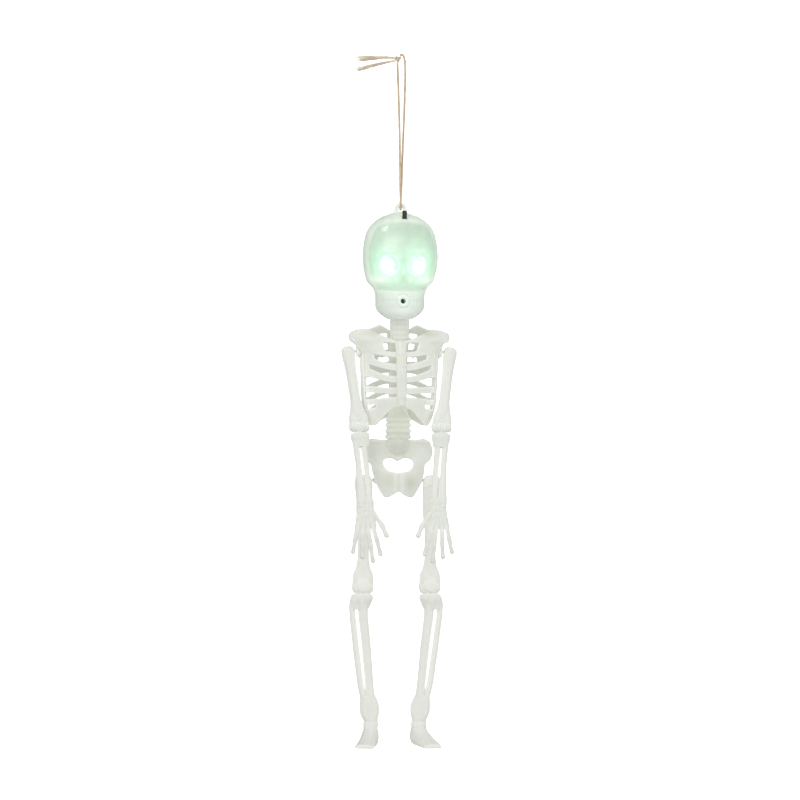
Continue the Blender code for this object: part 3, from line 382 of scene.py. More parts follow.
def twine_material():
    made, nodes, links = node_material("hemp_twine")
    shader = nodes["Principled BSDF"]
    tint = nodes.new("ShaderNodeVertexColor")
    tint.layer_name = "tint"
    streak = add_noise(nodes, links, 900, 4)
    mix = nodes.new("ShaderNodeMix")
    mix.data_type = "RGBA"
    mix.blend_type = "MULTIPLY"
    links.new(add_range(nodes, links, streak.outputs["Fac"], 0.0, 0.75), mix.inputs["Factor"])
    links.new(tint.outputs["Color"], mix.inputs["A"])
    mix.inputs["B"].default_value = (0.72, 0.60, 0.44, 1)
    links.new(mix.outputs["Result"], shader.inputs["Base Color"])
    # painted glow: the twine gives off a little light in its own colour
    links.new(mix.outputs["Result"], shader.inputs["Emission Color"])
    shader.inputs["Emission Strength"].default_value = 0.14
    shader.inputs["Roughness"].default_value = 0.85
    shader.inputs["Sheen Weight"].default_value = 0.25
    shader.inputs["Sheen Roughness"].default_value = 0.5
    fibre = add_noise(nodes, links, 5200, 3)
    add_bump(nodes, links, shader, [(fibre.outputs["Fac"], 0.5, 0.0001)])
    return made


def lamp_material():
    made, nodes, links = node_material("lamp_lens")
    shader = nodes["Principled BSDF"]
    shader.inputs["Base Color"].default_value = (0.85, 0.97, 0.95, 1)
    noise = add_noise(nodes, links, 700, 2)
    links.new(add_range(nodes, links, noise.outputs["Fac"], 0.05, 0.16), shader.inputs["Roughness"])
    shader.inputs["Emission Color"].default_value = (0.93, 1.0, 1.0, 1)
    shader.inputs["Emission Strength"].default_value = 2.5
    return made


# ---- twine ----

FRONT_ROUTE = [
    (0, -0.4, 347.2), (-0.05, -2.0, 347.6), (-0.1, -3.1, 349.2), (-0.2, -2.9, 352.0),
    (-0.4, -1.9, 358.0), (-0.6, -1.2, 368.0), (-0.8, -1.0, 382.0), (-1.1, -0.9, 396.0),
    (-1.6, -0.8, 410.0), (-2.1, -0.5, 424.0), (-2.6, -0.1, 436.0), (-2.85, 0.15, 442.2),
]
BACK_ROUTE = [
    (0, 0.4, 347.2), (0.05, 2.0, 347.6), (0.1, 3.0, 349.2), (0.25, 2.8, 352.0),
    (0.5, 2.0, 358.0), (0.8, 1.3, 368.0), (1.1, 1.0, 382.0), (1.5, 0.8, 396.0),
    (1.9, 0.6, 410.0), (2.2, 0.4, 424.0), (2.3, 0.2, 436.0), (1.9, 0.0, 443.5),
    (0.9, 0.0, 446.9), (-0.4, 0.0, 447.7), (-1.3, 0.1, 446.9),
]
UPPER_TAIL = [(-4.2, 0.2, 445.1), (-9, 0.1, 445.6), (-16, -0.2, 445.2), (-24, -0.4, 444.6),
              (-31.5, -0.4, 443.9)]
LOWER_TAIL = [(-4.0, 0.6, 443.6), (-9, 0.8, 442.8), (-16, 0.6, 440.9), (-24, 0.2, 438.8),
              (-31.5, 0.0, 437.6)]
KNOT = Vector((-2.6, 0.2, 444.8))
KNOT_SCALE = Vector((0.72, 0.72, 0.76))
TWINE_LIGHT = np.array([0.76, 0.66, 0.51])
TWINE_DARK = np.array([0.59, 0.49, 0.35])
# painted light added to the cut ends, offsetting the shade among their loose fibres
TWINE_END_LIFT = np.array([0.12, 0.15, 0.19])
CORD_STEP = 0.5


def smooth_route(points, spacing):
    """Evenly spaced points on a smooth curve through the route's own points."""
    route = [Vector(p) for p in points]
    fine = []
    for i in range(len(route) - 1):
        before = route[max(i - 1, 0)]
        here, there = route[i], route[i + 1]
        after = route[min(i + 2, len(route) - 1)]
        for part in range(12):
            t = part / 12
            bend = (there - before) * t + (before * 2 - here * 5 + there * 4 - after) * t * t
            bend += (here * 3 - before - there * 3 + after) * t * t * t
            fine.append(here + bend / 2)
    fine.append(route[-1])
    lengths = [0.0]
    for a, b in zip(fine, fine[1:]):
        lengths.append(lengths[-1] + (b - a).length)
    count = max(2, round(lengths[-1] / spacing))
    even, at = [], 0
    for k in range(count + 1):
        want = lengths[-1] * k / count
        while at < len(lengths) - 2 and lengths[at + 1] < want:
            at += 1
        share = (want - lengths[at]) / (lengths[at + 1] - lengths[at])
        even.append(fine[at].lerp(fine[at + 1], share))
    return even


def length_of(points):
    return sum((b - a).length for a, b in zip(points, points[1:]))


def sweep_tube(bm, points, radius_at, sides):
    """Adds a closed round tube along the points; its radius may change along the way."""
    side_way = (points[1] - points[0]).orthogonal().normalized()
    rings = []
    for i, point in enumerate(points):
        ahead = points[min(i + 1, len(points) - 1)] - points[max(i - 1, 0)]
        ahead.normalize()
        side_way = (side_way - ahead * side_way.dot(ahead)).normalized()
        up = ahead.cross(side_way)
        radius = radius_at(i / (len(points) - 1))
        ring = []
        for k in range(sides):
            turn = 2 * math.pi * k / sides
            place = point + (side_way * math.cos(turn) + up * math.sin(turn)) * radius
            ring.append(bm.verts.new(place))
        rings.append(ring)
    for low, high in zip(rings, rings[1:]):
        for k in range(sides):
            n = (k + 1) % sides
            bm.faces.new([low[k], low[n], high[n], high[k]])
    bm.faces.new(rings[0][::-1])
    bm.faces.new(rings[-1])


def helix(points, offset, pitch, phase):
    """A line that winds round the points."""
    side_way = (points[1] - points[0]).orthogonal().normalized()
    out, run = [], 0.0
    for i, point in enumerate(points):
        if i:
            run += (point - points[i - 1]).length
        ahead = (points[min(i + 1, len(points) - 1)] - points[max(i - 1, 0)]).normalized()
        side_way = (side_way - ahead * side_way.dot(ahead)).normalized()
        up = ahead.cross(side_way)
        turn = 2 * math.pi * run / pitch + phase
        out.append(point + (side_way * math.cos(turn) + up * math.sin(turn)) * offset)
    return out


def loose_hairs(bm, points, count, reach, dice):
    """Short fibres that stand off the twine."""
    for _ in range(count):
        at = dice.randrange(2, len(points) - 3)
        ahead = (points[at + 1] - points[at]).normalized()
        out = Vector([dice.gauss(0, 1) for _ in range(3)])
        out = (out - ahead * out.dot(ahead)).normalized()
        run = dice.uniform(1.2, 3.4) * dice.choice((-1, 1))
        lift = dice.uniform(0.25, 1.0) * reach
        start = points[at] + out * 0.55
        line = []
        for k in range(5):
            t = k / 4
            line.append(start + ahead * run * t + out * lift * t**1.6)
        sweep_tube(bm, line, lambda t: 0.055 * (1 - 0.7 * t), 3)


def twine_strand(name, route, seed):
    """Three plies laid together, with loose fibres, along the route."""
    points = smooth_route(route, CORD_STEP)
    dice = random.Random(seed)
    bm = bmesh.new()
    for ply in range(3):
        turn = 2 * math.pi * ply / 3
        line = helix(points, 0.42, 5.2, turn)
        wave = dice.uniform(0, 6.28)
        sweep_tube(bm, line, lambda t: 0.39 + 0.03 * math.sin(t * 61 + wave), 8)
    loose_hairs(bm, points, round(length_of(points) * 1.5), 0.8, dice)
    strand = new_object(name, bm)
    finish_twine(strand, seed)
    return strand, points


def finish_twine(piece, seed, pale=0.0):
    """Paints the twine in two tones; pale is 1 for the cut ends, painted paler: painted light that
    offsets the shade among their loose fibres.
    """
    tone = 0.5 + 0.5 * ripple(points_of(piece), 6.0, seed)
    light = TWINE_LIGHT + pale * TWINE_END_LIFT
    dark = TWINE_DARK + pale * TWINE_END_LIFT
    paint(piece, "tint", light + (dark - light) * np.clip(tone, 0, 1)[:, None])
    piece.data.materials.append(TWINE)
    to_frame(piece)


def frayed_tail(name, route, seed):
    """A cut end whose plies have come apart into fibres."""
    dice = random.Random(seed)
    points = smooth_route(route, 0.8)
    bm = bmesh.new()
    for strand in range(60):
        turn = dice.uniform(0, 6.28)
        tight = dice.uniform(0.15, 0.6)
        spread = dice.uniform(0.3, 2.0)
        stop = dice.uniform(0.78, 1.0)
        line = []
        for i, point in enumerate(points):
            t = i / (len(points) - 1)
            if t > stop:
                break
            out = tight + spread * t**1.3
            angle = turn + 5.0 * t * (1 - 0.6 * t)
            drift = Vector((0, math.cos(angle) * out, math.sin(angle) * out))
            line.append(point + drift)
        thick = dice.uniform(0.13, 0.24)
        sweep_tube(bm, line, lambda t: thick * (1 - 0.55 * t), 5)
    tail = new_object(name, bm)
    finish_twine(tail, seed, 1.0)
    return tail


def tied_knot():
    """An overhand knot: three crossing turns of the same twine, pulled tight."""
    line = []
    for k in range(97):
        t = 2 * math.pi * k / 96
        x = math.sin(t) + 1.4 * math.sin(2 * t)
        z = math.cos(t) - 1.4 * math.cos(2 * t)
        y = -math.sin(3 * t)
        line.append(KNOT + Vector((x, y, z)) * KNOT_SCALE)
    bm = bmesh.new()
    for ply in range(2):
        wound = helix(line[:-1], 0.28, 3.1, math.pi * ply)
        sweep_tube(bm, wound, lambda t: 0.48, 7)
    loose_hairs(bm, line, 14, 0.8, random.Random(5))
    knot = new_object("knot_turns", bm)
    finish_twine(knot, 7)
    return knot


def make_twine():
    front, front_line = twine_strand("twine_front", FRONT_ROUTE, 11)
    back, back_line = twine_strand("twine_back", BACK_ROUTE, 12)
    knot = tied_knot()
    upper = frayed_tail("twine_tail_upper", UPPER_TAIL, 21)
    lower = frayed_tail("twine_tail_lower", LOWER_TAIL, 22)
    pairs = [(front, "hang_cord_front"), (back, "hang_cord_back"), (knot, "cord_knot"),
             (upper, "cord_tail_upper"), (lower, "cord_tail_lower")]
    for piece, node in pairs:
        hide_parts(node)
        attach(piece, "skull")


# ---- bones ----

# BONE_LIGHT is also the painted highlight on ridges, and BONE_DEEP also the painted shade in
# hollows
BONE_LIGHT = np.array([0.86, 0.87, 0.83])
BONE = np.array([0.805, 0.817, 0.772])
BONE_DEEP = np.array([0.69, 0.71, 0.63])
OLIVE = np.array([0.62, 0.64, 0.53])
THROUGH_LIGHT = 0.10  # share of its own tint that thin plastic passes on from behind
SIDE_LIGHT = 0.10  # and the share that is added where the plastic faces sideways
RIB_SIDE_LIGHT = 0.17  # the rib cage's walls are thinner
SEAM_REACH = 0.17  # closes half of the 0.3 mm gap between two halves, and a little more


def bone_tone_and_painted_shading(piece, depth, seed):
    """Painted highlight on edges and ridges, painted shade in the greener hollows, and slow cloudy
    changes from thick to thin plastic.
    """
    cavity = cavity_of(piece, 60)
    co = points_of(piece)
    cloud = 0.5 + 0.35 * ripple(co, 14.0, seed)
    # hollows get painted shade and ridges a painted highlight; depth adds the cloudy thick-plastic
    # tone
    hollow = np.clip(step(0.0, -0.35, cavity) * 0.8 + depth * (0.4 + 0.6 * cloud), 0, 1)
    edge = step(0.02, 0.28, cavity)
    colours = BONE + (BONE_DEEP - BONE) * hollow[:, None]
    return colours + (BONE_LIGHT - colours) * (edge * 0.8)[:, None]


def parting_line(piece, co, normal, amount):
    """The faint raised seam that the two halves of a mould leave down a bone's sides."""
    height = np.round(co[:, 2] / 1.5).astype(int)
    height -= height.min()
    count = np.maximum(np.bincount(height), 1)
    middle = np.bincount(height, co[:, 1]) / count
    off = co[:, 1] - middle[height]
    return amount * np.exp(-((off / 0.28) ** 2)) * step(0.75, 0.95, np.abs(normal[:, 0]))


def soften_kneecap(piece, co):
    """The kneecap runs into the thigh bone without an edge."""
    smooth = relax(piece, co, round(90 / COARSE**2))
    near = step(97.5, 99.5, co[:, 2]) * step(122, 115, co[:, 2]) * step(2.5, 1.0, co[:, 1])
    return co + (smooth - co) * (0.9 * near)[:, None]


def limb(node, body, voxel, soften, swell, seed, relief, share):
    """One long bone: share is the part of its tint that it passes on as light."""
    piece = moulded(node, voxel, soften)
    co = points_of(piece)
    if node.startswith("femur"):
        co = soften_kneecap(piece, co)
        set_points(piece, co)
    normal = normals_of(piece)
    lift = swell + 0.05 * ripple(co, 5.0, seed) + parting_line(piece, co, normal, 0.13)
    lift += relief(co, normal)
    set_points(piece, co + normal * lift[:, None])
    tint = bone_tone_and_painted_shading(piece, 0.10, seed)
    if node.startswith("forearm"):
        tint *= 1 - 0.10 * step(141, 134, co[:, 2])[:, None]  # greyer fingers
    paint_bone(piece, tint, share)
    finish_bone(piece, node, body)


def through_light(piece, colours, share, side_share=SIDE_LIGHT):
    """The glow of light that comes through the plastic from behind it."""
    side = step(0.35, 0.95, np.abs(normals_of(piece)[:, 0]))
    return colours * (share + side_share * side)[:, None]


def paint_bone(piece, colours, share=THROUGH_LIGHT, side_share=SIDE_LIGHT):
    paint(piece, "tint", colours)
    paint(piece, "glow", through_light(piece, colours, share, side_share))


def tone_patches(co, colours, target, spots):
    """Soft patches of another tone: each spot is x, height, half width, half height, share."""
    for x, z, wide, tall, share in spots:
        patch = np.exp(-(((co[:, 0] - x) / wide) ** 2) - ((co[:, 2] - z) / tall) ** 2)
        colours = colours + (target - colours) * (patch * share)[:, None]
    return colours


def finish_bone(piece, node, body):
    piece.data.materials.append(BONE_PLASTIC)
    to_frame(piece)
    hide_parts(node)
    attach(piece, body)


RIB_SEAM = 1.0  # where the two halves of the rib cage meet
RIB_HALF_WIDTH = ([208, 214, 222, 238, 254, 259, 263, 266, 268, 270, 273],
                  [20.3, 23.0, 24.8, 25.6, 26.6, 30.6, 33.6, 33.8, 32.6, 29.5, 25.0])
RIB_COLUMNS = [0, 0.12, 0.225, 0.38, 0.50, 0.67, 0.80, 0.92, 1.0]
FRONT_DEPTH = ([206, 222, 240, 252, 262, 269], [13.5, 15.0, 14.6, 12.6, 10.2, 8.0])
REAR_DEPTH = ([206, 240, 256, 264, 273], [11.5, 11.9, 11.6, 9.6, 6.0])


def round_out_ribs(co, facing, depth):
    """Turns the flat strips between the rib columns into one curve round the chest."""
    half = np.interp(co[:, 2], *RIB_HALF_WIDTH) - 1.0
    share = np.clip(np.abs(co[:, 0]) / half, 0, 1)
    reach = np.interp(co[:, 2], *depth) - 1.0
    curve = np.sqrt(1 - np.clip(share, 0, 0.985) ** 2)
    flat = np.interp(share, RIB_COLUMNS, [math.sqrt(1 - s * s) for s in RIB_COLUMNS])
    change = reach * (curve - flat) * step(1.0, 0.95, share)
    out = co.copy()
    out[:, 1] += facing * change
    return out


def close_seam(co, seam, reach):
    """The two halves meet: each lip reaches half way across the gap between the solids."""
    out = co.copy()
    out[:, 1] += reach * step(1.1, 0.35, np.abs(co[:, 1] - seam))
    return out


def below_shoulders(co):
    """1 below the shoulder pins, 0 around them and above."""
    return step(246, 242, co[:, 2])


def soften_wings(piece, co):
    """The collar wings have no creases: they are evened out far more than the ribs."""
    smooth = relax(piece, co, round(70 / COARSE**2))
    share = 0.85 * step(260.5, 265, co[:, 2]) * step(11, 16, np.abs(co[:, 0]))
    return co + (smooth - co) * share[:, None]


def front_ribs():
    piece = moulded("ribcage_front", 0.3, 9)
    co = round_out_ribs(points_of(piece), -1, FRONT_DEPTH)
    co = soften_wings(piece, co)
    co = close_seam(co, RIB_SEAM, SEAM_REACH * below_shoulders(co))
    set_points(piece, co)
    normal = normals_of(piece)
    x, z = np.abs(co[:, 0]), co[:, 2]
    ahead = step(0.15, 0.6, -normal[:, 1])
    collar = 263.0 + 0.10 * x + 1.6 * np.sin(np.clip(x, 0, 30) / 30 * math.pi * 2)
    lift = 0.40 * np.exp(-(((z - collar) / 1.9) ** 2)) * step(3, 7, x) * step(32, 27, x)
    lift -= 0.25 * np.exp(-(((z - collar + 4.4) / 2.2) ** 2)) * step(10, 15, x) * step(28, 23, x)
    for joint in (258.3, 252.4, 244.4, 236.4, 229.4, 224.0):
        lift -= 0.14 * np.exp(-(((z - joint) / 0.5) ** 2)) * step(3.6, 2.2, x)
    lift += 0.35 * np.exp(-((x / 1.9) ** 2)) * step(262, 259, z)
    lift = lift * ahead + 0.05 * ripple(co, 5.0, 31)
    set_points(piece, co + normal * lift[:, None])
    # depth 0.24 darkens the front ribs all over as painted shade; a darker patch runs down the
    # sternum
    tint = tone_patches(points_of(piece), bone_tone_and_painted_shading(piece, 0.24, 31), BONE_DEEP, [(0, 240, 4, 30, 0.35)])
    wings = [(-17.5, 267.0, 5.5, 2.6, 0.6), (17.5, 267.0, 5.5, 2.6, 0.8), (24, 240, 2.5, 12, 0.3)]
    paint_bone(piece, tone_patches(points_of(piece), tint, OLIVE, wings), THROUGH_LIGHT, RIB_SIDE_LIGHT)
    finish_bone(piece, "ribcage_front", "torso")


def rear_ribs():
    piece = moulded("ribcage_rear", 0.3, 9)
    co = round_out_ribs(points_of(piece), 1, REAR_DEPTH)
    co = close_seam(co, RIB_SEAM, -SEAM_REACH * below_shoulders(co))
    set_points(piece, co)
    normal = normals_of(piece)
    x, z = np.abs(co[:, 0]), co[:, 2]
    behind = step(0.15, 0.6, normal[:, 1])
    blade = ((x - 17) / 7.5) ** 2 + ((z - 254) / 12.0) ** 2
    lift = 0.7 * np.exp(-((blade - 0.9) ** 2) / 0.12) * step(0.3, 0.8, blade)
    lift += 0.6 * np.exp(-(((z - 261.5 - 0.12 * x) / 1.2) ** 2)) * step(9, 12, x) * step(29, 25, x)
    lift = lift * behind + 0.05 * ripple(co, 5.0, 32)
    for high in range(9):
        knob = np.exp(-((x / 1.6) ** 2) - ((z - 220 - high * 5.6) / 1.5) ** 2)
        lift += 0.6 * knob * behind
    set_points(piece, co + normal * lift[:, None])
    paint_bone(piece, bone_tone_and_painted_shading(piece, 0.12, 32), THROUGH_LIGHT, RIB_SIDE_LIGHT)
    finish_bone(piece, "ribcage_rear", "torso")


def backbone():
    piece = moulded("spine", 0.28, 12)
    co = points_of(piece)
    normal = normals_of(piece)
    z = co[:, 2]
    co[:, 2] -= 0.5 * step(200.6, 199.4, z)
    upright = step(0.8, 0.4, np.abs(normal[:, 2]))
    ring = np.cos((z - 277.5) * 2 * math.pi / 3.4)
    neck = step(247, 252, z) * step(278.6, 277.6, z)
    lift = 0.11 * (ring - 0.4) * neck
    chest = step(218, 222, z) * step(252, 248, z)
    lift += 0.12 * np.cos((z - 220) * 2 * math.pi / 5.0) * chest
    lift += 0.05 * ripple(co, 4.0, 33)
    set_points(piece, co + normal * (lift * upright)[:, None])
    tint = tone_patches(points_of(piece), bone_tone_and_painted_shading(piece, 0.50, 33), OLIVE, [(0, 204, 7, 14, 0.7)])
    # extra painted light on the lumbar spine under the rib cage, lifting the shade there
    share = THROUGH_LIGHT + 0.14 * step(200, 206, z) * step(230, 218, z)
    paint_bone(piece, tint, share)
    finish_bone(piece, "spine", "torso")


def hip_bone():
    piece = moulded("pelvis", 0.28, 22)
    co = points_of(piece)
    normal = normals_of(piece)
    x, z = np.abs(co[:, 0]), co[:, 2]
    facing = step(0.3, 0.75, np.abs(normal[:, 1]))
    lift = -0.55 * np.exp(-(((x - 14.0) / 4.5) ** 2) - ((z - 190.5) / 4.5) ** 2)
    crest = 197.2 - 0.012 * (x - 13) ** 2
    lift += 0.5 * np.exp(-(((z - crest) / 1.0) ** 2)) * step(8, 11, x)
    lift += 0.45 * np.exp(-((x / 2.0) ** 2)) * step(186, 189, z)
    for high in (189.8, 193.2, 196.4):
        lift -= 0.25 * np.exp(-(((x - 4.3) / 0.75) ** 2) - ((z - high) / 0.75) ** 2)
    lift -= 0.4 * np.exp(-((x / 0.45) ** 2)) * step(177, 175, z)
    lift += 0.35 * np.exp(-(((x - 2.6) / 1.2) ** 2)) * step(177, 174, z)
    lift -= 0.35 * np.exp(-(((x - 6.4) / 1.4) ** 2) - ((z - 170.0) / 3.4) ** 2)
    lift = 0.08 + lift * facing + 0.06 * ripple(co, 6.0, 34)
    set_points(piece, co + normal * lift[:, None])
    tint = bone_tone_and_painted_shading(piece, 0.20, 34)
    thick = np.clip(0.55 * step(15, 5, x) * step(184, 190, z), 0, 1)
    tint += (BONE_DEEP - tint) * thick[:, None]
    olive = [(7.5, 170.0, 3.2, 4.5, 0.8), (-7.0, 171.5, 3.0, 4.0, 0.4), (-16, 190, 6, 6, 0.35),
             (0, 193, 5, 6, 0.3)]
    tint = tone_patches(points_of(piece), tint, OLIVE, olive)
    tint = tone_patches(points_of(piece), tint, BONE_LIGHT, [(15, 191, 6, 7, 0.6), (2, 172, 2, 6, 0.4)])
    paint_bone(piece, tint)
    finish_bone(piece, "pelvis", "torso")


def ahead_of(normal):
    return step(0.1, 0.6, -normal[:, 1])


def behind_of(normal):
    return step(0.1, 0.6, normal[:, 1])


def upper_arm_relief(co, normal):
    """A ridge down the shaft, and hollows above the two condyles."""
    x, z = np.abs(co[:, 0]), co[:, 2]
    middle = 26.6 + (33.2 - 26.6) * (z - 206.6) / 48.6
    lift = 0.22 * np.exp(-(((x - middle - 1.0) / 0.9) ** 2)) * step(214, 219, z) * step(250, 244, z)
    lift -= 0.40 * np.exp(-(((x - middle) / 1.7) ** 2) - ((z - 212.6) / 2.2) ** 2)
    lift += 0.22 * np.exp(-(((x - middle - 3.9) / 1.6) ** 2) - ((z - 211.5) / 2.6) ** 2)
    lift += 0.22 * np.exp(-(((x - middle + 3.9) / 1.6) ** 2) - ((z - 211.5) / 2.6) ** 2)
    return lift * (ahead_of(normal) + behind_of(normal))


WRIST_BONES = [(19.9, 153.6), (22.6, 154.6), (25.4, 153.9), (27.6, 152.6), (20.2, 149.9),
               (22.9, 150.6), (25.6, 150.2), (28.0, 149.0)]
HAND_RAYS = [(28.3, 27.4), (25.5, 25.0), (21.9, 22.4), (18.7, 20.2)]


def forearm_relief(co, normal):
    """Small wrist bones, and the four hand bones as ridges with hollows between."""
    x, z = np.abs(co[:, 0]), co[:, 2]
    lift = np.zeros(len(co))
    for place, high in WRIST_BONES:
        lift += 0.42 * np.exp(-(((x - place) / 1.05) ** 2) - ((z - high) / 1.35) ** 2)
    hand = step(148.6, 147.0, z) * step(136.0, 138.5, z)
    share = np.clip((147.5 - z) / 8, 0, 1)
    for low, high in HAND_RAYS:
        place = high + (low - high) * share
        lift += 0.45 * np.exp(-(((x - place) / 0.85) ** 2)) * hand
    lift -= 0.22 * hand
    lift -= 0.25 * np.exp(-((z - 157.2) / 0.8) ** 2) * step(17, 19, x)
    lift += (0.04 + 0.20 * np.cos((z - 131) * 2 * math.pi / 6.6)) * step(136.5, 134.5, z)
    lift += 0.25 * np.exp(-(((x - 26.6) / 3.4) ** 2) - ((z - 200.2) / 1.6) ** 2)
    return lift * (ahead_of(normal) + behind_of(normal))


def thigh_relief(co, normal):
    """The kneecap in front, a groove behind, and a ridge across the top of the thigh bone."""
    x, z = np.abs(co[:, 0]), co[:, 2]
    lift = -0.35 * np.exp(-(((x - 21.9) / 1.6) ** 2) - ((z - 110.6) / 2.2) ** 2) * ahead_of(normal)
    rough = np.exp(-(((z - 169.5 - 0.45 * (x - 21)) / 1.1) ** 2)) * step(155, 160, z)
    lift += 0.35 * rough * (ahead_of(normal) + behind_of(normal))
    shaft = step(112, 120, z) * step(160, 152, z)
    lift += 0.20 * np.exp(-(((x - 21.3) / 0.8) ** 2)) * shaft * behind_of(normal)
    return lift


def shin_relief(co, normal):
    """A knob under the knee, ankle knuckles, and toes with grooves between them."""
    x, y, z = np.abs(co[:, 0]), co[:, 1], co[:, 2]
    front = ahead_of(normal)
    lift = 0.45 * np.exp(-(((x - 22.6) / 1.8) ** 2) - ((z - 92.4) / 2.2) ** 2) * front
    lift -= 0.25 * np.exp(-(((x - 26.2) / 1.0) ** 2) - ((z - 92.5) / 3.0) ** 2) * front
    lift += 0.30 * np.exp(-(((x - 13.2) / 2.0) ** 2) - ((z - 20.5) / 3.0) ** 2)
    lift += 0.30 * np.exp(-(((x - 20.0) / 2.0) ** 2) - ((z - 19.0) / 3.0) ** 2)
    lift -= 0.28 * np.exp(-(((z - 15.2) / 0.7) ** 2)) * step(-2, 1, y)
    turn = math.radians(15)
    across = (x - 15.4) * math.cos(turn) + (y - 9.5) * math.sin(turn)
    along = (x - 15.4) * math.sin(turn) - (y - 9.5) * math.cos(turn)
    toes = step(15, 19, along) * step(0.2, 0.6, np.abs(normal[:, 2]))
    lift -= 0.16 * toes * np.exp(-((np.sin(math.pi * (across + 1.25) / 2.5) / 0.30) ** 2))
    instep = step(4, 8, along) * step(16, 12, along) * step(0.2, 0.6, normal[:, 2])
    lift += 0.08 * instep * np.cos(across * 2 * math.pi / 2.5)
    return lift


def limbs():
    # the last figure is each bone's share of painted passed light; the thighs get most, lifting the
    # hands' shade on them
    for side, seed in (("left", 40), ("right", 60)):
        limb("humerus_" + side, "upper_arm_" + side, 0.25, 14, 0.06, seed, upper_arm_relief, 0.10)
        limb("forearm_" + side, "forearm_" + side, 0.22, 6, 0.10, seed + 1, forearm_relief, 0.08)
        limb("femur_" + side, "thigh_" + side, 0.25, 16, 0.06, seed + 2, thigh_relief, 0.18)
        limb("shin_" + side, "shin_" + side, 0.25, 12, 0.07, seed + 3, shin_relief, 0.12)


# ---- skull ----

SKULL_HEIGHTS = [276.0, 277.5, 280.0, 283.0, 288.0, 293.0, 296.5, 300.0, 305.0, 311.0, 316.0,
                 321.0, 327.5, 332.9, 337.7, 341.5, 344.6, 345.5]
SKULL_WIDE = [7.6, 10.2, 13.6, 15.6, 16.0, 16.4, 18.0, 21.2, 22.9, 24.0, 24.4,
              24.3, 23.4, 21.8, 18.6, 13.7, 6.5, 2.0]
SKULL_FRONT = [16.5, 18.2, 19.6, 20.6, 21.0, 20.2, 20.4, 20.6, 20.4, 20.8, 21.8,
               21.2, 20.3, 18.8, 16.3, 12.5, 6.0, 2.0]
SKULL_BACK = [8.6, 9.5, 10.5, 11.5, 13.0, 15.5, 18.0, 20.5, 22.5, 23.6, 24.0,
              24.0, 23.3, 22.0, 19.5, 15.0, 7.0, 2.0]
LAMP = np.array([10.5, -19.5, 310.4])
SKULL_SIDES = 24
SKULL_SEAM = -1.45  # where the two halves of the skull meet
SKULL_SHARE = 0.165  # the skull's own shares of passed light, as for the bones
CHIN_SHARE = 0.04
SKULL_SIDE_SHARE = 0.04
SLOT_SHARE = 0.30
KNOB_TRIM = 0.5  # keeps the knob clear of the slot's far end
LAMP_HEIGHT = 310.8
MOUTH_HEIGHT = 287.2


def eased(height, heights, values):
    """A smooth curve through the table, as a cubic between each pair of heights."""
    heights, values = np.array(heights), np.array(values)
    slope = np.gradient(values, heights)
    at = np.clip(np.searchsorted(heights, height) - 1, 0, len(heights) - 2)
    span = heights[at + 1] - heights[at]
    t = np.clip((height - heights[at]) / span, 0, 1)
    out = (2 * t**3 - 3 * t**2 + 1) * values[at] + (t**3 - 2 * t**2 + t) * span * slope[at]
    out += (3 * t**2 - 2 * t**3) * values[at + 1] + (t**3 - t**2) * span * slope[at + 1]
    return out


def round_out_skull(co):
    """Turns the many-sided skull into a smooth one with the same outline."""
    x, y, z = co.T
    reach = np.where(y > 0, np.interp(z, SKULL_HEIGHTS, SKULL_BACK),
                     np.interp(z, SKULL_HEIGHTS, SKULL_FRONT))
    wide = np.interp(z, SKULL_HEIGHTS, SKULL_WIDE)
    turn = np.arctan2(y / reach, x / wide)
    pitch = 2 * math.pi / SKULL_SIDES
    off = turn - np.round(turn / pitch) * pitch
    outer = step(0.55, 0.85, np.hypot(x / wide, y / reach))
    swell = 1 + (np.cos(off) / math.cos(pitch / 2) - 1) * outer
    low = (z < 343) & (z > 278)
    smooth_wide = np.where(low, eased(z, SKULL_HEIGHTS, SKULL_WIDE), wide)
    smooth_reach = np.where(y > 0, eased(z, SKULL_HEIGHTS, SKULL_BACK),
                            eased(z, SKULL_HEIGHTS, SKULL_FRONT))
    smooth_reach = np.where(low, smooth_reach, reach)
    out = co.copy()
    out[:, 0] = x * swell * (1 + (smooth_wide / wide - 1) * outer)
    out[:, 1] = y * swell * (1 + (smooth_reach / reach - 1) * outer)
    return out


def outside_of_skull(co, normal):
    x, y, z = co.T
    reach = np.where(y > 0, np.interp(z, SKULL_HEIGHTS, SKULL_BACK),
                     np.interp(z, SKULL_HEIGHTS, SKULL_FRONT))
    wide = np.interp(z, SKULL_HEIGHTS, SKULL_WIDE)
    far = step(0.945, 0.975, np.hypot(x / wide, y / reach))
    away = x * normal[:, 0] + y * normal[:, 1] + (z - 313) * normal[:, 2]
    return far * step(0, 4, away)


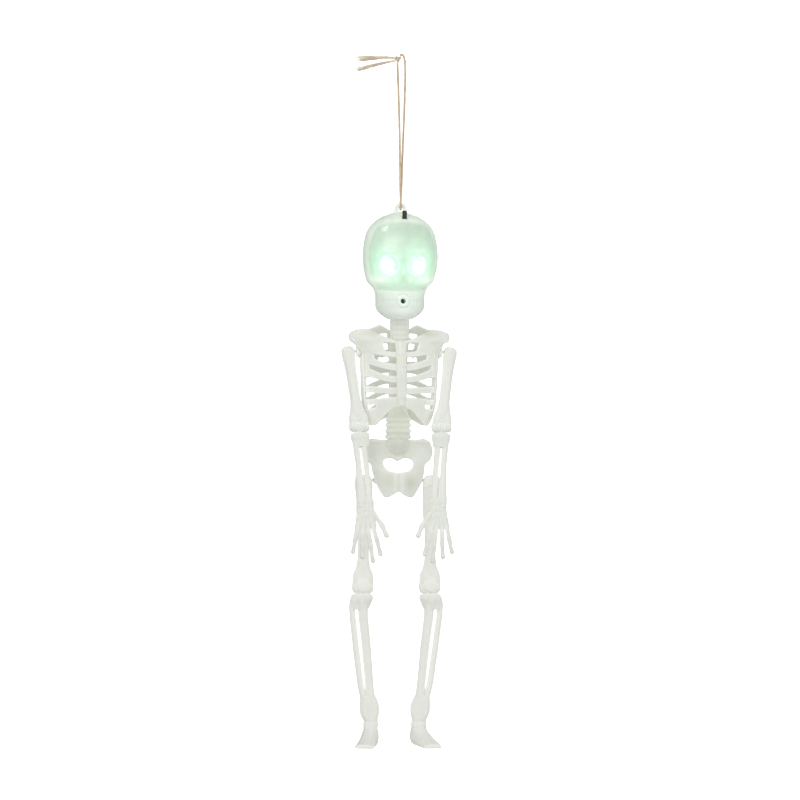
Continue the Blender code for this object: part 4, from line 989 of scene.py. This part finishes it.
def face_relief(co):
    """The face: brows, cheekbones, nose bridge, teeth and the ring round the screw hole."""
    x, y, z = co.T
    lift = 0.75 * hump(co, 9.5, 319.3, 6.5, 1.9)
    lift += 0.35 * hump(co, 3.0, 316.0, 2.5, 2.6)
    lift -= 0.35 * hump(co, 0, 310.5, 2.2, 3.4)
    lift += 0.55 * hump(co, 0, 306.0, 1.5, 3.0)
    lift += 0.45 * hump(co, 4.6, 300.5, 1.6, 3.4)
    lift += 0.75 * hump(co, 14.8, 300.8, 4.6, 2.6)
    lift -= 0.95 * hump(co, 14.6, 295.2, 5.0, 1.5)
    lift -= 0.30 * hump(co, 6.0, 294.2, 7.0, 0.9)
    lift += 0.40 * hump(co, 6.5, 279.8, 4.5, 2.4)
    lift += 0.55 * hump(co, 0, 279.6, 4.2, 2.2)
    lift -= 0.35 * hump(co, 13.5, 287.0, 2.0, 4.5)
    ring = np.hypot(x, z - MOUTH_HEIGHT)
    clear = step(3.9, 5.0, ring)
    band = step(282.6, 283.8, z) * step(292.8, 291.6, z) * step(14.2, 12.5, np.abs(x)) * clear
    pitch = 2.3 + 0.25 * np.cos(x / 5.0)
    groove = np.exp(-((np.sin(math.pi * x / pitch) / 0.24) ** 2))
    lift += band * (0.10 - 0.26 * groove)
    lift -= 0.18 * band * np.exp(-(((z - 287.6) / 0.45) ** 2))
    lift += 0.30 * np.exp(-(((ring - 3.1) / 0.6) ** 2))
    lift -= 0.22 * np.exp(-(((ring - 4.6) / 0.5) ** 2))
    suture = 329.0 + 0.5 * np.sin(x * 1.9) + 0.25 * np.sin(x * 4.3)
    lift -= 0.10 * np.exp(-(((z - suture) / 0.35) ** 2)) * step(19, 14, np.abs(x))
    return lift * step(-3.0, -9.0, y)


RIM = np.array([0.76, 0.85, 0.75])
FACE = np.array([0.60, 0.715, 0.605])
JAW = np.array([0.775, 0.815, 0.765])
GLOW = np.array([0.15, 0.44, 0.26])


def lamp_light(co):
    """Green light that spreads through the shell from the two lamps, their bright glare, and
    painted light on the cheekbones.
    """
    near = co.copy()
    near[:, 0] = np.abs(near[:, 0])
    far = np.linalg.norm(near - LAMP, axis=1)
    off = np.hypot(near[:, 0] - LAMP[0], near[:, 2] - LAMP[2])
    ahead = step(0, -6, co[:, 1])
    spread = np.exp(-((far / 10.2) ** 2)) + 0.26 * np.exp(-((far / 24.0) ** 2))
    glow = GLOW * (spread * ahead)[:, None]
    glare = step(3.4, 2.3, off) * step(-12, -15, co[:, 1])
    ring = np.exp(-(((off - 4.6) / 0.9) ** 2)) * step(-14, -17, co[:, 1])
    glow += np.array([1.6, 1.65, 1.7]) * glare[:, None]
    glow += np.array([0.16, 0.10, 0.24]) * ring[:, None]
    # painted light that brightens the cheekbones
    cheek = hump(co, 15.5, 300.0, 8.0, 6.0) * ahead
    return glow + np.array([0.20, 0.18, 0.18]) * cheek[:, None]


def skull_half(node):
    piece = moulded(node, 0.36, 5)
    front = node == "skull_front_shell"
    co = round_out_skull(points_of(piece))
    co = close_seam(co, SKULL_SEAM, SEAM_REACH if front else -SEAM_REACH)
    set_points(piece, co)
    normal = normals_of(piece)
    outer = outside_of_skull(co, normal)
    lift = 0.10 * ripple(co, 17.0, 51)
    if front:
        lift += face_relief(co)
    else:
        x, y, z = co.T
        seam = 22 + 0.5 * np.sin(z * 1.7)
        lift -= 0.10 * np.exp(-((x / 0.4) ** 2)) * step(300, 306, z) * step(16, seam, y)
    set_points(piece, co + normal * (lift * outer)[:, None])
    co, normal = points_of(piece), normals_of(piece)
    colours = skull_tone_and_painted_shading(piece, co, front)
    paint(piece, "tint", colours)
    # painted passed light inside the switch slot's opening, lifting the shade there
    slot = step(5.0, 2.5, np.hypot(co[:, 0] - 1.3, co[:, 1] + 10.6)) * step(334, 337, co[:, 2])
    share = SKULL_SHARE + CHIN_SHARE * step(286, 280, co[:, 2])
    passed = through_light(piece, colours, share, SKULL_SIDE_SHARE)
    passed += colours * (SLOT_SHARE * slot * (1 - outer))[:, None]
    paint(piece, "glow", lamp_light(co) + passed)
    piece.data.materials.append(SHELL_PLASTIC)
    to_frame(piece)
    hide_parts(node)
    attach(piece, "skull")


def skull_tone_and_painted_shading(piece, co, front):
    x, y, z = co.T
    wide = np.interp(z, SKULL_HEIGHTS, SKULL_WIDE)
    inset = np.abs(x) - (wide - 3.2) + step(318, 336, z) * 1.2
    face = step(0.4, -0.5, inset) * step(339.5, 336.5, z + 0.010 * x**2) * step(-6, -10, y)
    outline = np.exp(-((inset / 0.5) ** 2)) * step(-5, -8, y) * step(336, 332, z)
    colours = RIM + (FACE - RIM) * (face * float(front))[:, None]
    upper = hump(co, 0, 333, 16, 6) * face * (0.45 + 0.35 * np.tanh(x / 6))
    colours += (np.array([0.52, 0.635, 0.52]) - colours) * upper[:, None]
    colours *= 1 + (0.035 * ripple(co, 8.0, 61) * step(300, 312, z))[:, None]
    colours += (np.array([0.55, 0.66, 0.55]) - colours) * (outline * 0.45 * front)[:, None]
    # painted highlight: a whitish patch on the forehead, left of the middle as seen from the front,
    # where a lamp is reflected
    pale = np.exp(-(((x + 8) / 6) ** 2) - ((z - 325) / 4) ** 2) * face
    colours += (np.array([0.76, 0.82, 0.74]) - colours) * (pale * 0.6)[:, None]
    jaw = step(297, 292, z)
    colours += (JAW - colours) * jaw[:, None]
    # painted shade in the hollows and a painted highlight on ridges, from the surface's curvature
    cavity = cavity_of(piece, 40)
    hollow = step(0.0, -0.25, cavity) * 0.55
    colours += (np.array([0.50, 0.62, 0.50]) - colours) * hollow[:, None]
    edge = step(0.04, 0.25, cavity) * 0.5
    return colours + (np.array([0.86, 0.90, 0.84]) - colours) * edge[:, None]


# ---- lamps, switch and the parts inside ----


LAMP_SIDES = 40


def lamp(side, label):
    """A round lamp: flange, straight body and domed lens."""
    axis_x = side * 10.5
    profile = [(-9.4, 0.0), (-9.4, 2.9), (-10.5, 2.9), (-10.6, 2.55), (-15.6, 2.5)]
    for k in range(1, 9):
        turn = math.pi / 2 * k / 8
        profile.append((-15.6 - 2.3 * math.sin(turn), 2.5 * math.cos(turn)))
    bm = bmesh.new()
    rings = []
    for y, radius in profile[1:-1]:
        ring = []
        for k in range(LAMP_SIDES):
            turn = 2 * math.pi * k / LAMP_SIDES
            ring.append(bm.verts.new((axis_x + radius * math.cos(turn), y,
                                      LAMP_HEIGHT + radius * math.sin(turn))))
        rings.append(ring)
    for low, high in zip(rings, rings[1:]):
        for k in range(LAMP_SIDES):
            n = (k + 1) % LAMP_SIDES
            bm.faces.new([low[k], low[n], high[n], high[k]])
    for ring, y in ((rings[0], profile[0][0]), (rings[-1], profile[-1][0])):
        tip = bm.verts.new((axis_x, y, LAMP_HEIGHT))
        for k in range(LAMP_SIDES):
            bm.faces.new([ring[k], ring[(k + 1) % LAMP_SIDES], tip])
    bmesh.ops.recalc_face_normals(bm, faces=bm.faces)
    piece = new_object("lamp_" + label, bm)
    piece.data.materials.append(LAMP_LENS)
    to_frame(piece)
    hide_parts("led_" + label)
    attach(piece, "skull")


def knob():
    """The switch's thumb piece: rounded edges and grip grooves across its top."""
    low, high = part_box("switch_knob")
    low = low * 1000 + Vector((0, 0, HANG_HEIGHT))
    high = high * 1000 + Vector((0, 0, HANG_HEIGHT))
    bm = bmesh.new()
    bmesh.ops.create_cube(bm, size=1)
    high.y -= KNOB_TRIM
    size = high - low
    size.z = 8.0
    middle = (low + high) / 2
    bmesh.ops.scale(bm, vec=size, verts=bm.verts)
    bmesh.ops.translate(bm, vec=(middle.x, middle.y, high.z - size.z / 2), verts=bm.verts)
    bmesh.ops.bevel(bm, geom=bm.edges[:], offset=0.35, segments=4, affect="EDGES", profile=0.5)
    bmesh.ops.subdivide_edges(bm, edges=bm.edges[:], cuts=3, use_grid_fill=True)
    for vert in bm.verts:
        if vert.co.z > high.z - 0.8:
            wave = math.cos((vert.co.x - middle.x) * 2 * math.pi / 0.9)
            vert.co.z -= 0.12 * (1 - wave)
    piece = new_object("switch_thumb_piece", bm)
    piece.data.materials.append(KNOB_BLACK)
    to_frame(piece)
    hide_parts("switch_knob")
    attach(piece, "switch_knob")


def dress(node, finish):
    """Gives a CAD node that stays its own finish."""
    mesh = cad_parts[node].data
    mesh.materials.clear()
    mesh.materials.append(finish)


def dress_small_parts():
    black = hard_material("black_nylon", (0.012, 0.012, 0.013), (0.03, 0.03, 0.032), 0.5)
    steel = hard_material("nickel_plate", (0.62, 0.61, 0.58), (0.45, 0.44, 0.42), 0.28, 1.0)
    dark = hard_material("black_zinc", (0.03, 0.03, 0.035), (0.10, 0.10, 0.11), 0.35, 0.9)
    board = hard_material("solder_mask", (0.03, 0.20, 0.08), (0.02, 0.12, 0.05), 0.35, 0.0, 260)
    pin = hard_material("pin_nylon", (0.80, 0.81, 0.76), (0.70, 0.72, 0.64), 0.4, 0.0, 300)
    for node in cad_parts:
        if node.startswith(("board_screw", "battery_cell", "battery_contact")):
            dress(node, steel)
        elif node.endswith(("pin_left", "pin_right")):
            dress(node, pin)
    dress("skull_screw", dark)
    dress("circuit_board", board)
    dress("switch_body", pin)
    dress("battery_holder", black)


TWINE = twine_material()
BONE_PLASTIC = plastic("glow_plastic_bone", 0.38)
SHELL_PLASTIC = plastic("glow_plastic_skull", 0.26)
LAMP_LENS = lamp_material()
KNOB_BLACK = hard_material("knob_black", (0.010, 0.010, 0.011), (0.028, 0.028, 0.030), 0.42)

set_camera()
set_light()
set_stage()
make_twine()
skull_half("skull_front_shell")
skull_half("skull_rear_shell")
lamp(1, "left")
lamp(-1, "right")
knob()
front_ribs()
rear_ribs()
backbone()
hip_bone()
limbs()
dress_small_parts()
